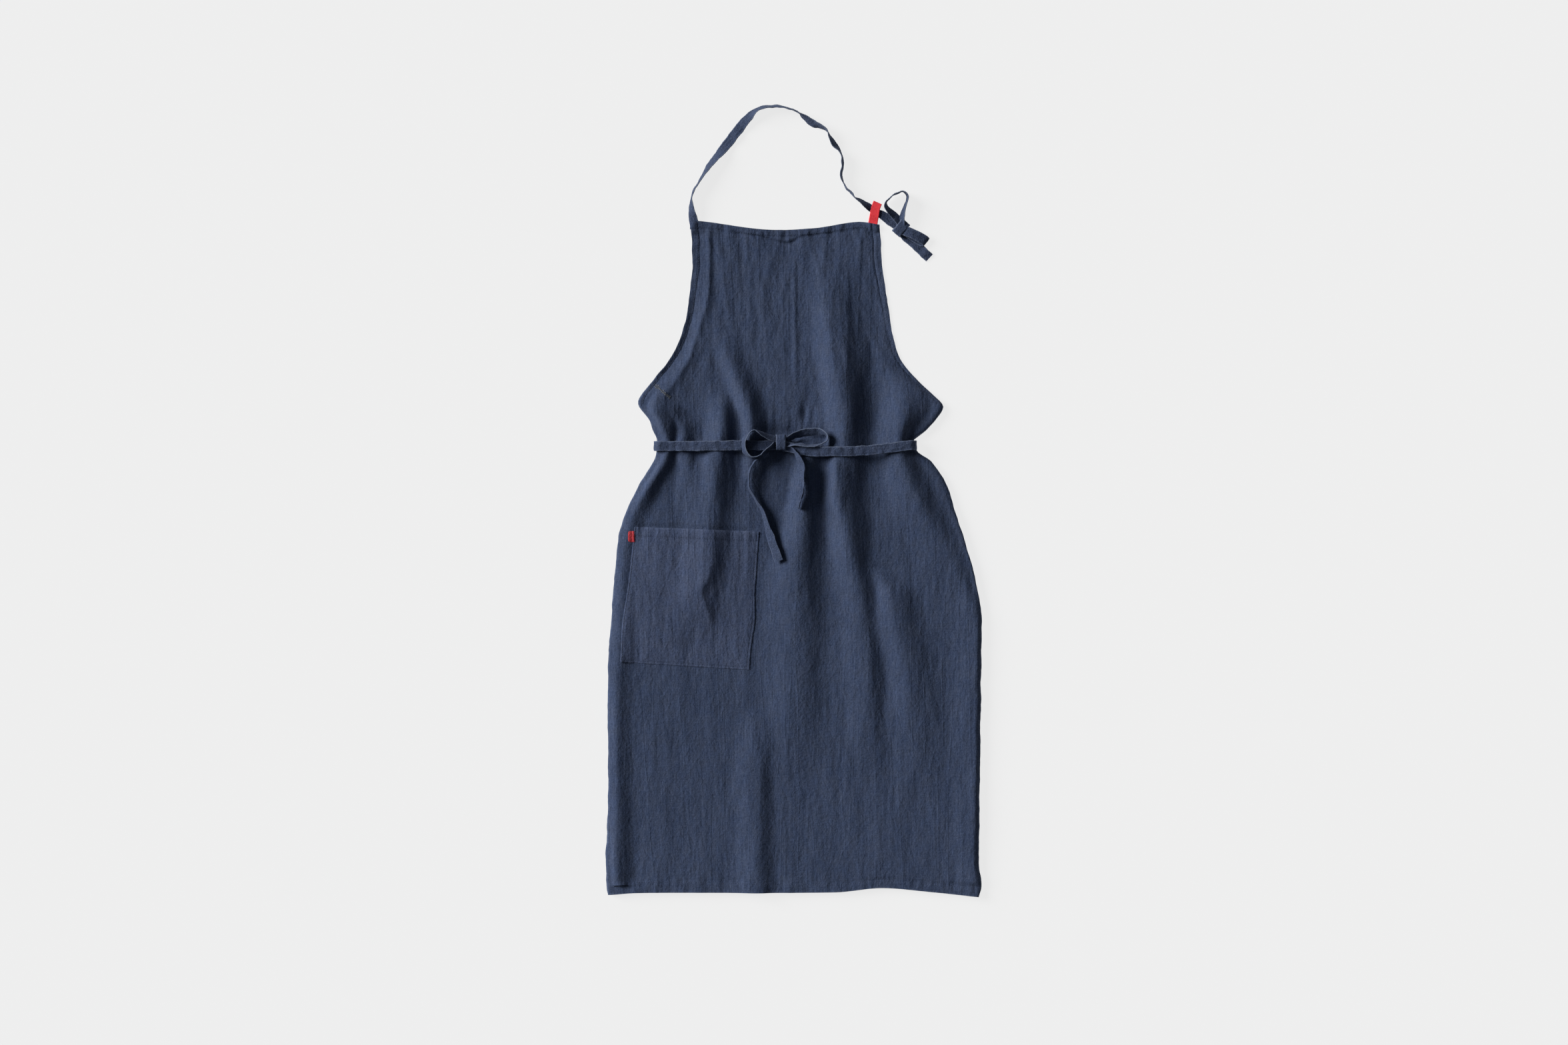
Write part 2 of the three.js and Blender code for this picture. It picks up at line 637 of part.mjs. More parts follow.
// The sections of a strap along a route: it rests on ground, lifted, and spans hollows within reach sections.
function routeSections(route, strapWidth, ground, lift, reach) {
  const curve = new THREE.CatmullRomCurve3(
    route.map((row) => new THREE.Vector3(row.x, row.y, row.turn)),
    false,
    "centripetal",
  );
  const plan = new THREE.CatmullRomCurve3(route.map((row) => new THREE.Vector3(row.x, row.y, 0)));
  const steps = Math.ceil(plan.getLength() / STRAP_STEP);
  const places = Array.from({ length: steps + 1 }, (_, i) => curve.getPoint(i / steps));
  const laid = places.map((place, i) => {
    const before = places[Math.max(i - 1, 0)];
    const after = places[Math.min(i + 1, steps)];
    const side = new THREE.Vector3(before.y - after.y, after.x - before.x, 0).normalize();
    const turn = degToRad(place.z);
    const half = strapWidth / 2;
    const width = side.clone().multiplyScalar(strapWidth * Math.cos(turn));
    width.z = strapWidth * Math.sin(turn);
    const heights = [-1, -0.5, 0, 0.5, 1].map((share) => {
      const offset = share * half * Math.cos(turn);
      return ground(place.x + side.x * offset, place.y + side.y * offset);
    });
    const rise = half * Math.abs(Math.sin(turn)) + CLOTH / 2;
    return { x: place.x, y: place.y, width, level: Math.max(...heights), rise };
  });
  const levels = bridged(laid.map((section) => section.level), reach);
  return laid.map(({ x, y, width, rise }, i) => {
    return { middle: new THREE.Vector3(x, y, levels[i] + lift + rise), width };
  });
}

// A tie's way round one side and under the wings, from the end of its front run to the far wing's edge.
function backSections(side, frontEnd, backLevel) {
  const turnSteps = 8;
  const { x, y, z } = frontEnd;
  const low = TIE_BACK_LOW;
  const width = new THREE.Vector3(0, -side * TIE_WIDTH, 0);
  const sections = [];
  for (let i = 1; i <= turnSteps; i += 1) {
    const angle = (Math.PI * i) / turnSteps;
    const out = x + side * TIE_SIDE * Math.sin(angle);
    const height = lerp(low, z, (1 + Math.cos(angle)) / 2);
    sections.push({ middle: new THREE.Vector3(out, y, height), width });
  }
  const end = -side * (WING_EDGE + TIE_SEWN);
  const steps = 16;
  for (let i = 1; i <= steps; i += 1) {
    const place = lerp(x, end, i / steps);
    const across = smoothstep(-side * place, -WING_EDGE - 30, -WING_EDGE - 6);
    sections.push({ middle: new THREE.Vector3(place, y, lerp(low, backLevel, across)), width });
  }
  return sections;
}

function tieGeometry(side, front, backLevel) {
  const run = routeSections(front, TIE_WIDTH, frontTop, SEAM_GAP, TIE_SPAN);
  return strapGeometry(run.concat(backSections(side, run.at(-1).middle, backLevel)), CLOTH);
}

const bowStrap = (route) => strapGeometry(routeSections(route, TIE_WIDTH, frontTop, BOW_LIFT, BOW_SPAN), CLOTH);
const neckStrap = (route) => strapGeometry(routeSections(route, NECK_WIDTH, underNeckStrap, 0, 0), CLOTH);

// The red tape: a flat loop whose two ends meet at the bib's corner.
function loopGeometry() {
  const { baseX, baseY, slant, width, length, rise } = LOOP_TAPE;
  const outer = new THREE.Shape();
  const tip = rise / 2;
  outer.moveTo(0, 0);
  outer.lineTo(length - tip, 0);
  outer.absarc(length - tip, tip, tip, -Math.PI / 2, Math.PI / 2);
  outer.lineTo(length / 4, rise);
  outer.lineTo(0, 2.2 * TAPE);
  outer.closePath();
  const hollow = new THREE.Path();
  hollow.moveTo(length / 5, TAPE);
  hollow.lineTo(length / 4, rise - TAPE);
  hollow.lineTo(length - tip, rise - TAPE);
  hollow.absarc(length - tip, tip, tip - TAPE, Math.PI / 2, -Math.PI / 2, true);
  hollow.closePath();
  outer.holes.push(hollow);
  const band = new THREE.ExtrudeGeometry(outer, { depth: width, bevelEnabled: false, curveSegments: 5 });
  band.translate(0, 0, -width / 2);
  band.rotateX(Math.PI / 2);
  band.rotateZ(degToRad(90 + slant));
  return band.translate(baseX, baseY, 0);
}

function tagGeometry() {
  const { x, y, width, length, wall } = POCKET_TAG;
  const r = width / 3;
  const shape = new THREE.Shape();
  shape.moveTo(width / 2, -length / 2);
  shape.lineTo(width / 2, length / 2);
  shape.lineTo(-width / 2 + r, length / 2);
  shape.absarc(-width / 2 + r, length / 2 - r, r, Math.PI / 2, Math.PI);
  shape.lineTo(-width / 2, -length / 2 + r);
  shape.absarc(-width / 2 + r, -length / 2 + r, r, Math.PI, 1.5 * Math.PI);
  shape.closePath();
  const tag = new THREE.ExtrudeGeometry(shape, { depth: wall, bevelEnabled: false, curveSegments: 4 });
  return tag.translate(x, y, frontTop(x + width / 2, y) + SEAM_GAP);
}

function neckStrapGeometry() {
  const routes = [NECK_ROUTE, NECK_LOOP_UPPER, NECK_LOOP_LOWER, NECK_TAIL];
  return fuse(...routes.map(neckStrap), roundedBar(NECK_KNOT, 0));
}

function tieLeftGeometry() {
  const run = tieGeometry(-1, TIE_LEFT_FRONT, TIE_BACK_HIGH);
  return fuse(run, bowStrap(BOW_LOOP_LEFT), bowStrap(BOW_TAIL_LEFT));
}

function tieRightGeometry() {
  const run = tieGeometry(1, TIE_RIGHT_FRONT, TIE_BACK_LOW);
  const { x, y, length } = BOW_KNOT;
  const shares = [-0.5, -0.25, 0, 0.25, 0.5];
  const places = shares.flatMap((a) => shares.map((b) => frontTop(x + a * KNOT_SPAN, y + b * length)));
  const under = Math.max(...places) - KNOT_SAG;
  const knot = roundedBar(BOW_KNOT, under + SEAM_GAP);
  return fuse(run, bowStrap(BOW_LOOP_RIGHT), bowStrap(BOW_TAIL_RIGHT), knot);
}

const apron = new THREE.Group();
function addPiece(name, geometry, material) {
  const mesh = new THREE.Mesh(geometry, material);
  mesh.name = name;
  apron.add(mesh);
}

addPiece("body", bodyGeometry(), NAVY);
addPiece("pocket", pocketGeometry(), NAVY);
addPiece("pocket_tag", tagGeometry(), RED);
addPiece("neck_strap", neckStrapGeometry(), NAVY);
addPiece("neck_loop", loopGeometry(), RED);
addPiece("waist_tie_left", tieLeftGeometry(), NAVY);
addPiece("waist_tie_right", tieRightGeometry(), NAVY);

export default apron;
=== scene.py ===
import math

import bpy
import numpy as np
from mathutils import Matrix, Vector


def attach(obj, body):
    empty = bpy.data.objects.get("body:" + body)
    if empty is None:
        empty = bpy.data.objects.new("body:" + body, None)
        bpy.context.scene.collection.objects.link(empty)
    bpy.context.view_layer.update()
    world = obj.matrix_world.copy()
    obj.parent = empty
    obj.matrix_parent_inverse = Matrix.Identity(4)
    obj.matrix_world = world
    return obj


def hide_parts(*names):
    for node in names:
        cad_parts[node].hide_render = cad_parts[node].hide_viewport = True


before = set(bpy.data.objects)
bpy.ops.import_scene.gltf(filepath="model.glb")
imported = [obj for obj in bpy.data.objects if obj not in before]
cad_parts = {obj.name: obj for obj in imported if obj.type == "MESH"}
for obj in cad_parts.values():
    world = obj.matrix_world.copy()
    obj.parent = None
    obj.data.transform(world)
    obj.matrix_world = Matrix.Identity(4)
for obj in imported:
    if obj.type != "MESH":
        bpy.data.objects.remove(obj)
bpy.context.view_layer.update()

# A long bib apron in navy linen, laid face up on a pale floor.
# Lengths are in millimetres until a mesh is made.
MM = 0.001

# Cloth and trim
CLOTH = 1.0
STRAP_WALL = 1.5
TAPE = 1.0
NECK_WIDTH = 14.0
TIE_WIDTH = 14.0
BIB_HEM = 9.5
FOOT_HEM_LEFT = 17.0
FOOT_HEM_RIGHT = 12.0
POCKET_HEM = 12.5
HEM_STEP = 0.5
LEFT_CURL = 2.2
LEFT_CURL_HIGH = 0.7
PUCKER = 1.0
BIB_PUCKER = 1.4
FOOT_PUCKER = 1.5
PUCKER_SPAN = 8.0
ARMPIT_Y = 134.0
WAIST_Y = 79.0
WING_EDGE = 75.0
WING_TUCK = 14.0
TIE_BUMP = 3.2
FOLD_ROLL = 9.0
RIGHT_ROLL = 2.0
RIGHT_BRIM = 0.8
BIB_ROLL = 30.0
BIB_CURL = 0.8
WEAR_REACH = 1.5
SEAM_GAP = 0.8
FLOOR_GAP = 0.05
LOWEST = 0.62
BIB_RAISE = 0.25
SHARP_EDGE = 55.0

# The body's side edges seen from above: y, left, right, height of the front's middle and of its side edge.
OUTLINE = [
    (-562, -263.5, 263.5, 9.0, 4.8),
    (-549, -266, 267, 9.0, 4.8),
    (-537, -267, 267, 9.0, 4.8),
    (-518, -267, 264, 9.1, 4.8),
    (-436, -263.5, 265, 9.2, 4.9),
    (-236, -264, 267, 9.5, 5.0),
    (-151, -257.5, 266, 9.5, 5.0),
    (-94, -252.5, 254, 9.5, 5.0),
    (-37, -246, 237, 9.5, 5.0),
    (20, -221, 219, 9.5, 5.5),
    (56, -199, 197, 9.5, 6.3),
    (70, -194.5, 176, 9.5, 6.5),
    (88, -194.5, 171.5, 9.5, 6.5),
    (101, -200, 189, 9.5, 6.3),
    (117, -206, 203, 9.0, 5.2),
    (134, -219, 213, 8.5, 4.0),
    (146, -219, 204, 8.0, 2.6),
    (172, -200, 176, 7.0, 1.4),
    (201, -177, 153, 6.0, 1.1),
    (229, -162, 143, 5.0, 1.0),
    (286, -149, 134, 4.0, 1.0),
    (343, -144, 126, 3.0, 1.0),
    (394, -147, 123, 1.6, 1.0),
]
# Width of the armholes' turned hems: y, left, right.
ARMHOLE_HEMS = [(134, 7, 5), (230, 7.5, 5.5), (300, 8.5, 8), (345, 10, 10), (394, 10, 10)]
BIB_TOP = [(-148, 397), (-132, 399), (-40, 387), (30, 389), (92, 398), (123, 394)]
FOOT = [(-264, -562), (-220, -559), (60, -558), (125, -552), (190, -557), (265, -565)]

# Folds and hollows that run down the front. Each row: y, crest x, reach to the left and right, height.
FOLDS = {
    "hip_left": [
        (-70, -238, 14, 30, 0), (-25, -228, 14, 26, 4), (15, -211, 12, 24, 9), (50, -189, 10, 20, 10),
        (80, -181, 14, 18, 10), (95, -183, 14, 22, 12), (112, -189, 16, 36, 15), (130, -197, 14, 46, 14),
        (150, -192, 12, 28, 5), (175, -176, 14, 26, 0),
    ],
    "side_left": [
        (-60, -146, 25, 18, 0), (-20, -146, 25, 18, 2), (40, -148, 20, 24, 6), (60, -152, 18, 22, 7),
        (80, -158, 14, 22, 9), (96, -157, 12, 24, 7), (109, -158, 12, 26, 6), (122, -164, 12, 26, 2),
        (132, -172, 10, 20, 0.8), (141, -180, 8, 12, 0),
    ],
    "pocket": [
        (-205, -142, 42, 40, 0), (-170, -139, 42, 40, 3.5), (-134, -136, 42, 40, 6), (-90, -126, 42, 36, 8),
        (-40, -119, 42, 34, 9), (0, -114, 40, 32, 11), (30, -112, 36, 34, 13), (60, -110, 32, 34, 14),
        (80, -104, 32, 26, 14), (100, -100, 33, 20, 13), (125, -101, 32, 19, 10), (150, -103, 30, 18, 2),
        (165, -105, 30, 18, 0),
    ],
    "pocket_crease": [
        (-178, -118, 24, 14, 0), (-165, -122, 28, 14, 1.6), (-155, -126, 30, 15, 2.6),
        (-141, -131, 32, 16, 3.2), (-131, -134, 32, 16, 3.4), (-122, -131, 32, 16, 3.2),
        (-112, -125, 30, 16, 2.9), (-94, -120, 28, 16, 2.3), (-75, -119, 24, 16, 1.6),
        (-46, -120, 20, 16, 0.8), (-30, -120, 16, 16, 0),
    ],
    "bib_slant": [
        (15, -62, 20, 24, 0), (50, -61, 14, 26, 6), (80, -60, 18, 25, 12), (120, -63, 17, 27, 13),
        (170, -78, 22, 28, 11), (200, -90, 24, 28, 7), (225, -98, 24, 28, 4), (255, -108, 24, 25, 0),
    ],
    "middle": [
        (-400, -7, 55, 50, 0), (-300, 0, 50, 52, 6), (-200, 2, 50, 54, 9), (-100, 6, 48, 42, 13),
        (-20, 14, 34, 32, 15), (0, 14, 27, 30, 14), (40, 17, 23, 28, 13), (66, 18, 24, 27, 11),
        (82, 18, 25, 27, 4), (95, 16, 26, 27, 1.5), (120, 14, 30, 26, 0),
    ],
    "long": [
        (-400, 112, 46, 26, 0), (-330, 109, 46, 28, 4.5), (-240, 104, 40, 28, 7), (-180, 98, 40, 30, 6),
        (-110, 88, 34, 30, 10), (-80, 81, 34, 32, 13), (-30, 73, 30, 42, 16), (0, 63, 24, 46, 16.5),
        (30, 61, 20, 50, 17), (60, 63, 20, 52, 17), (80, 68, 24, 48, 17), (120, 70, 34, 46, 17),
        (150, 68, 34, 48, 16), (180, 64, 34, 52, 15), (240, 54, 34, 60, 11), (290, 50, 34, 50, 6),
        (330, 50, 34, 44, 2), (360, 50, 34, 40, 0),
    ],
    "long_hollow": [
        (-60, 118, 30, 30, 0), (0, 116, 34, 34, -2), (60, 115, 36, 34, -3), (120, 114, 38, 40, -5),
        (200, 108, 40, 40, -4), (290, 104, 40, 40, -2), (350, 100, 36, 36, 0),
    ],
    "side_right": [
        (-170, 256, 40, 10, 0), (-115, 241, 55, 14, 2), (-60, 210, 55, 30, 5), (0, 177, 48, 34, 11),
        (30, 163, 40, 34, 12), (55, 155, 40, 26, 13), (70, 152, 40, 18, 14), (95, 153, 42, 18, 14),
        (125, 156, 42, 40, 11), (150, 160, 42, 42, 6), (185, 160, 40, 36, 0),
    ],
    "hip_right": [
        (-420, 178, 36, 44, 0), (-304, 169, 38, 48, 6), (-240, 164, 36, 46, 9), (-180, 148, 34, 46, 10),
        (-130, 138, 24, 46, 9), (-112, 126, 16, 34, 5), (-95, 114, 12, 20, 0),
    ],
    "foot_left": [
        (-565, -50, 44, 26, 7), (-450, -50, 44, 26, 6.5), (-370, -50, 44, 24, 6), (-325, -48, 40, 24, 3),
        (-290, -46, 40, 20, 0),
    ],
    "edge_left": [
        (-550, -254, 10, 32, 5.5), (-300, -256, 10, 30, 4.5), (-120, -248, 10, 28, 4), (-60, -240, 10, 26, 3),
        (-20, -230, 10, 25, 0),
    ],
    "edge_left_hollow": [(-555, -224, 28, 30, -2), (-300, -228, 26, 26, -1.5), (-150, -224, 24, 24, 0)],
    "edge_right": [
        (-545, 262, 46, 10, 3), (-330, 264, 46, 10, 4), (-160, 262, 44, 10, 3), (-120, 256, 34, 10, 0),
    ],
    "bib_left": [
        (140, -192, 14, 24, 0), (160, -176, 15, 24, 2.5), (200, -150, 16, 20, 3.5), (240, -136, 16, 16, 3.5),
        (290, -122, 16, 9, 3), (340, -120, 13, 7, 2.6), (378, -120, 12, 7, 1.6), (390, -120, 12, 7, 0),
    ],
    "bib_crease": [(100, 3, 6, 5, 0), (160, 3, 6, 5, 1.0), (300, 2, 6, 5, 1.0), (372, 2, 6, 5, 0)],
}
CUSPED = ("pocket_crease", "bib_left")
TIE_PRESS = 0.2
TIE_PRESS_REACH = 26.0
FOLD_FADE = 16.0
RIGHT_FADE = 6.0

# Soft hollows: x, y, half length, half width, way of the length in degrees, depth.
DENTS = [
    (16, 126, 15, 5, 88, 4.2),
    (28, 122, 14, 4, 92, 2.8),
    (-24, 99, 28, 12, 2, 4.0),
    (-4, 96, 24, 9, 0, 4.2),
    (24, 90, 22, 10, 8, 5.0),
    (-221, -35, 40, 15, 78, 3.0),
    (22, 150, 20, 5, 84, 1.2),
    (-6, 330, 60, 16, 86, 1.2),
    (-236, -540, 26, 6, 8, 1.0),
    (-196, -250, 14, 5, 60, 1.2),
    (-215, -258, 14, 5, 70, 1.0),
]

# Ledges at the bib's top, where one layer overhangs the cloth below it: x, y of the ledge, its height.
HEM_LEDGE = [
    (-92, 386, 0), (-81, 384.5, 0.6), (-57, 380.5, 1.7), (-28, 373, 2.4), (-7, 369.5, 2.2), (4, 375, 1.5),
    (24, 380.5, 0.9), (57, 383.5, 0.5), (104, 389, 0),
]
CORNER_LEDGE = [
    (103, 396, 0), (106, 391, 1), (109, 387, 1.2), (113, 383, 1.2), (118, 383.5, 1), (124, 386, 0.6),
]
LEDGE_FADE = 30.0
LOOP_LIFT = 1.9
LOOP_FOOT_X = 113.0
STRAP_LIFT = 2.2
STRAP_FOOT_X = -141.0

# The pocket's corners on the front: top left and right, foot left and right.
POCKET_CORNERS = np.array([[(-226, -37), (-49, -44)], [(-246, -229.5), (-63, -240.5)]], float)

# Camera and frame
FRAME_WIDTH = 2352 * 0.95
FRAME_MIDDLE = (-13.3, -30.9)
FRAME_LEVEL = 8.0
LENS = 85.0
SENSOR = 36.0
CLIP_END = 20.0

# Studio: a soft key from the left and a little above it in the frame, a faint even fill and the floor
KEY_HEIGHT = 26.0
KEY_WAY = 22.0
KEY_SOFTNESS = 30.0
KEY_POWER = 4.6
FILL = 0.1
FILL_COLOUR = (0.9, 0.95, 1.0, 1)
FLOOR_REACH = 4000.0
FLOOR_LEVEL = -0.3


# Curves and noise

def curve(rows, column):
    """A smooth curve through a table's rows: one column's value at any place along the first."""
    at = np.array([row[0] for row in rows], float)
    value = np.array([row[column] for row in rows], float)
    last = len(rows) - 1
    before = np.maximum(np.arange(len(rows)) - 1, 0)
    after = np.minimum(np.arange(len(rows)) + 1, last)
    slope = (value[after] - value[before]) / (at[after] - at[before])

    def read(place):
        p = np.clip(place, at[0], at[-1])
        i = np.clip(np.searchsorted(at, p) - 1, 0, last - 1)
        span = at[i + 1] - at[i]
        t = (p - at[i]) / span
        bend = t * t * (3 - 2 * t)
        start = t * (1 - t) ** 2 * span * slope[i]
        end = t * t * (t - 1) * span * slope[i + 1]
        return value[i] + (value[i + 1] - value[i]) * bend + start + end

    return read


def smooth(value, low, high):
    share = np.clip((np.asarray(value, float) - low) / (high - low), 0, 1)
    return share * share * (3 - 2 * share)


def quarter_round(share):
    rest = 1 - np.clip(share, 0, 1)
    return np.sqrt(1 - rest * rest)


def bell(away, reach):
    """A soft bump: 1 in its middle, fading out over a reach."""
    return np.exp(-(away / reach) ** 2)


def run_lengths(line):
    """How far along a line each of its points lies."""
    return np.concatenate([[0], np.cumsum(np.linalg.norm(np.diff(line, axis=0), axis=1))])


def read_line(places, at, line):
    """Points of a line in other places along it."""
    return np.stack([np.interp(places, at, line[:, k]) for k in range(3)], axis=-1)


def noise(x, y, seed):
    """Gradient noise from about -1 to 1, the same on every run."""
    x, y = np.broadcast_arrays(np.asarray(x, float), np.asarray(y, float))
    cell_x = np.floor(x).astype(np.int64)
    cell_y = np.floor(y).astype(np.int64)
    u = x - cell_x
    v = y - cell_y
    total = np.zeros(x.shape)
    for step_x in (0, 1):
        for step_y in (0, 1):
            code = (cell_x + step_x) * 374761393 + (cell_y + step_y) * 668265263 + seed * 974634777
            code = ((code ^ (code >> 13)) & 0xFFFFFFFF) * 1274126177
            angle = ((code ^ (code >> 16)) & 65535) / 65536 * 2 * np.pi
            away_x = u - step_x
            away_y = v - step_y
            fade_x = 1 - np.abs(away_x) ** 3 * (10 - 15 * np.abs(away_x) + 6 * away_x ** 2)
            fade_y = 1 - np.abs(away_y) ** 3 * (10 - 15 * np.abs(away_y) + 6 * away_y ** 2)
            total += (np.cos(angle) * away_x + np.sin(angle) * away_y) * fade_x * fade_y
    return total * 1.5


def crease_noise(x, y, seed):
    """Sharp-crested noise, for pressed creases: 1 along a crease and 0 away from it."""
    return np.clip(1 - 2.4 * np.abs(noise(x, y, seed)), 0, 1) ** 2


def layered(rows, x, y, kind=noise):
    """Several noises on top of one another, each row with its height, spans across and along, and seed."""
    return sum(height * kind(x / across, y / along, seed) for height, across, along, seed in rows)


# The front's surface

# Layers of crumples: height, span across and along, seed.
CRUMPLES = [(0.8, 30, 130, 11), (0.45, 16, 70, 12), (0.3, 9, 30, 13)]
CREASES = [(0.6, 30, 170, 14), (-0.4, 24, 120, 15)]
GATHERS = [(1.3, 9, 70, 16)]
WING_CRUMPLES = [(0.5, 30, 160, 31), (0.3, 14, 70, 32)]
POCKET_CRUMPLES = [(0.6, 12, 60, 44), (0.3, 6, 34, 45)]
GATHER_REACH = 42.0
CROSS_WAY = (0.83, 0.56)

plain_left = curve(OUTLINE, 1)
plain_right = curve(OUTLINE, 2)
loft_at = curve(OUTLINE, 3)
edge_at = curve(OUTLINE, 4)
bib_top = curve(BIB_TOP, 1)
foot_edge = curve(FOOT, 1)
left_hem = curve(ARMHOLE_HEMS, 1)
right_hem = curve(ARMHOLE_HEMS, 2)
LEDGE_CURVES = [(curve(rows, 1), curve(rows, 2)) for rows in (HEM_LEDGE, CORNER_LEDGE)]


def fold_curves(name):
    """A fold's profile, its ends, and the curves of its crest, reaches and height."""
    rows = FOLDS[name]
    return [name in CUSPED, rows[0][0], rows[-1][0]] + [curve(rows, k) for k in range(1, 5)]


FOLD_CURVES = [fold_curves(name) for name in FOLDS]
TOP_Y = OUTLINE[-1][0]
FOOT_Y = OUTLINE[0][0]


def waver(y, seed):
    """How far an edge strays from its smooth course."""
    return 1.1 * noise(y / 27, 0.5, seed) + 0.5 * noise(y / 9, 0.5, seed + 1)


def left_edge(y):
    return plain_left(y) + waver(y, 1)


def right_edge(y):
    return plain_right(y) + waver(y, 5)


def fold_heights(x, y):
    total = np.zeros(np.broadcast(x, y).shape)
    for cusped, end, top, crest, left, right, height in FOLD_CURVES:
        away = x - crest(y)
        share = np.clip(np.abs(away) / np.where(away < 0, left(y), right(y)), 0, 1)
        profile = (1 - share) ** 2 if cusped else 0.5 * (1 + np.cos(np.pi * share))
        inside = (y > end - 1e-6) & (y < top)
        total += np.where(inside, height(y) * profile, 0)
    return total


def dent_depths(x, y):
    total = np.zeros(np.broadcast(x, y).shape)
    for place_x, place_y, length, width, way, depth in DENTS:
        angle = math.radians(way)
        along = ((x - place_x) * math.cos(angle) + (y - place_y) * math.sin(angle)) / length
        across = ((y - place_y) * math.cos(angle) - (x - place_x) * math.sin(angle)) / width
        total += depth * np.exp(-along ** 2 - across ** 2)
    return total


def ledge_heights(x, y):
    total = np.zeros(np.broadcast(x, y).shape)
    for edge, height in LEDGE_CURVES:
        above = y - edge(x)
        layer = smooth(above, -1.1, 1.5) * (1 - smooth(above, 3, LEDGE_FADE))
        total += height(x) * (layer - 0.3 * bell(above + 3.5, 2.5))
    corners = LOOP_LIFT * bell(x - LOOP_FOOT_X, 9) + STRAP_LIFT * bell(x - STRAP_FOOT_X, 10)
    return total + corners * smooth(y, 379, 390)


def crinkles(x, y):
    """Crumples of washed linen: long upright creases, finer on the bib, and gathers at the waist."""
    lean = x + 8 * noise(x / 90, y / 160, 3)
    on_bib = smooth(y, 90, 230)
    upright = layered(CRUMPLES, lean, y) + layered(CREASES, lean, y, crease_noise)
    slanted = (x * CROSS_WAY[0] + y * CROSS_WAY[1]) / 26, (y * CROSS_WAY[0] - x * CROSS_WAY[1]) / 90
    crossed = 0.5 * crease_noise(*slanted, 17) - 0.35 * crease_noise(slanted[0] * 1.3, -slanted[1], 18)
    gathers = layered(GATHERS, lean, y) * bell(y - WAIST_Y, GATHER_REACH)
    return (0.75 + 0.35 * on_bib) * upright + on_bib * crossed + gathers


def mouth_dip(x, y):
    """The hollow in the front behind the pocket's mouth."""
    left, right = POCKET_CORNERS[0]
    share = (x - left[0]) / (right[0] - left[0])
    above = y - (left[1] + (right[1] - left[1]) * share)
    return 2.2 * bell(above - 0.5, 3.0) * smooth(share, 0, 0.08) * (1 - smooth(share, 0.92, 1))


def front_height(x, y, detail=1.0):
    """Height of the middle of the front's cloth, in a place seen from above."""
    x = np.asarray(x, float)
    y = np.asarray(y, float)
    from_left = x - left_edge(y)
    from_right = right_edge(y) - x
    away = np.maximum(0, np.minimum(from_left, from_right))
    on_bib = smooth(y, ARMPIT_Y, ARMPIT_Y + 60)
    low_right = np.where(from_right < from_left, 1 - smooth(y, -40, 20), 0)
    side_roll = FOLD_ROLL + (RIGHT_ROLL - FOLD_ROLL) * low_right
    roll = side_roll + (BIB_ROLL - side_roll) * on_bib
    rounded = quarter_round(away / roll)
    rounded = rounded + (smooth(away / roll, 0, 1) - rounded) * on_bib
    brim = edge_at(y) + RIGHT_BRIM * (loft_at(y) - edge_at(y)) * low_right
    base = brim + (loft_at(y) - brim) * rounded
    pressed = 1 - TIE_PRESS * bell(y - WAIST_Y, TIE_PRESS_REACH)
    inner = smooth(away / (FOLD_FADE + (RIGHT_FADE - FOLD_FADE) * low_right), 0, 1)
    shape = fold_heights(x, y) * pressed - dent_depths(x, y) + detail * (crinkles(x, y) - mouth_dip(x, y))
    lowest = LOWEST + BIB_RAISE * smooth(y, ARMPIT_Y + 30, TOP_Y)
    return np.maximum(base + shape * inner, lowest)


def front_top(x, y):
    return front_height(x, y) + CLOTH / 2


# Mesh helpers

def placed(name, data):
    """A new object in the scene."""
    made = bpy.data.objects.new(name, data)
    bpy.context.scene.collection.objects.link(made)
    return made


def make_object(name, points, faces, material, uv=None, wear=None):
    """A piece of the apron from points in millimetres, with a map along it or its wear."""
    mesh = bpy.data.meshes.new(name)
    mesh.from_pydata((np.asarray(points) * MM).tolist(), [], [list(map(int, face)) for face in faces])
    mesh.update()
    if uv is not None:
        layer = mesh.uv_layers.new(name="along")
        corner = np.empty(len(mesh.loops), np.int32)
        mesh.loops.foreach_get("vertex_index", corner)
        layer.data.foreach_set("uv", (np.asarray(uv)[corner] * MM).ravel())
    if wear is not None:
        mesh.attributes.new("wear", "FLOAT", "POINT").data.foreach_set("value", np.asarray(wear, np.float32))
    mesh.shade_smooth()
    mesh.set_sharp_from_angle(angle=math.radians(SHARP_EDGE))
    mesh.materials.append(material)
    piece = placed(name, mesh)
    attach(piece, "root")
    return piece


def face_normals(points, faces):
    """Normals at the points of a surface of four-sided faces."""
    a, b, c, d = (points[faces[:, k]] for k in range(4))
    across = np.cross(c - a, d - b)
    normals = np.zeros(points.shape)
    for k in range(4):
        np.add.at(normals, faces[:, k], across)
    return normals / np.maximum(np.linalg.norm(normals, axis=1, keepdims=True), 1e-12)


def thicken(points, faces, wall):
    """A closed wall around a surface of four-sided faces."""
    points = np.asarray(points, float)
    faces = np.asarray(faces, int)
    offset = face_normals(points, faces) * (np.broadcast_to(wall, len(points))[:, None] / 2)
    count = len(points)
    both = np.concatenate([points + offset, points - offset])
    edges = {}
    for face in faces:
        for k in range(4):
            i, j = int(face[k]), int(face[(k + 1) % 4])
            if (j, i) in edges:
                del edges[(j, i)]
            else:
                edges[(i, j)] = True
    under = faces[:, ::-1] + count
    rim = [(i, i + count, j + count, j) for i, j in edges]
    return both, np.concatenate([faces, under, np.array(rim, int)])


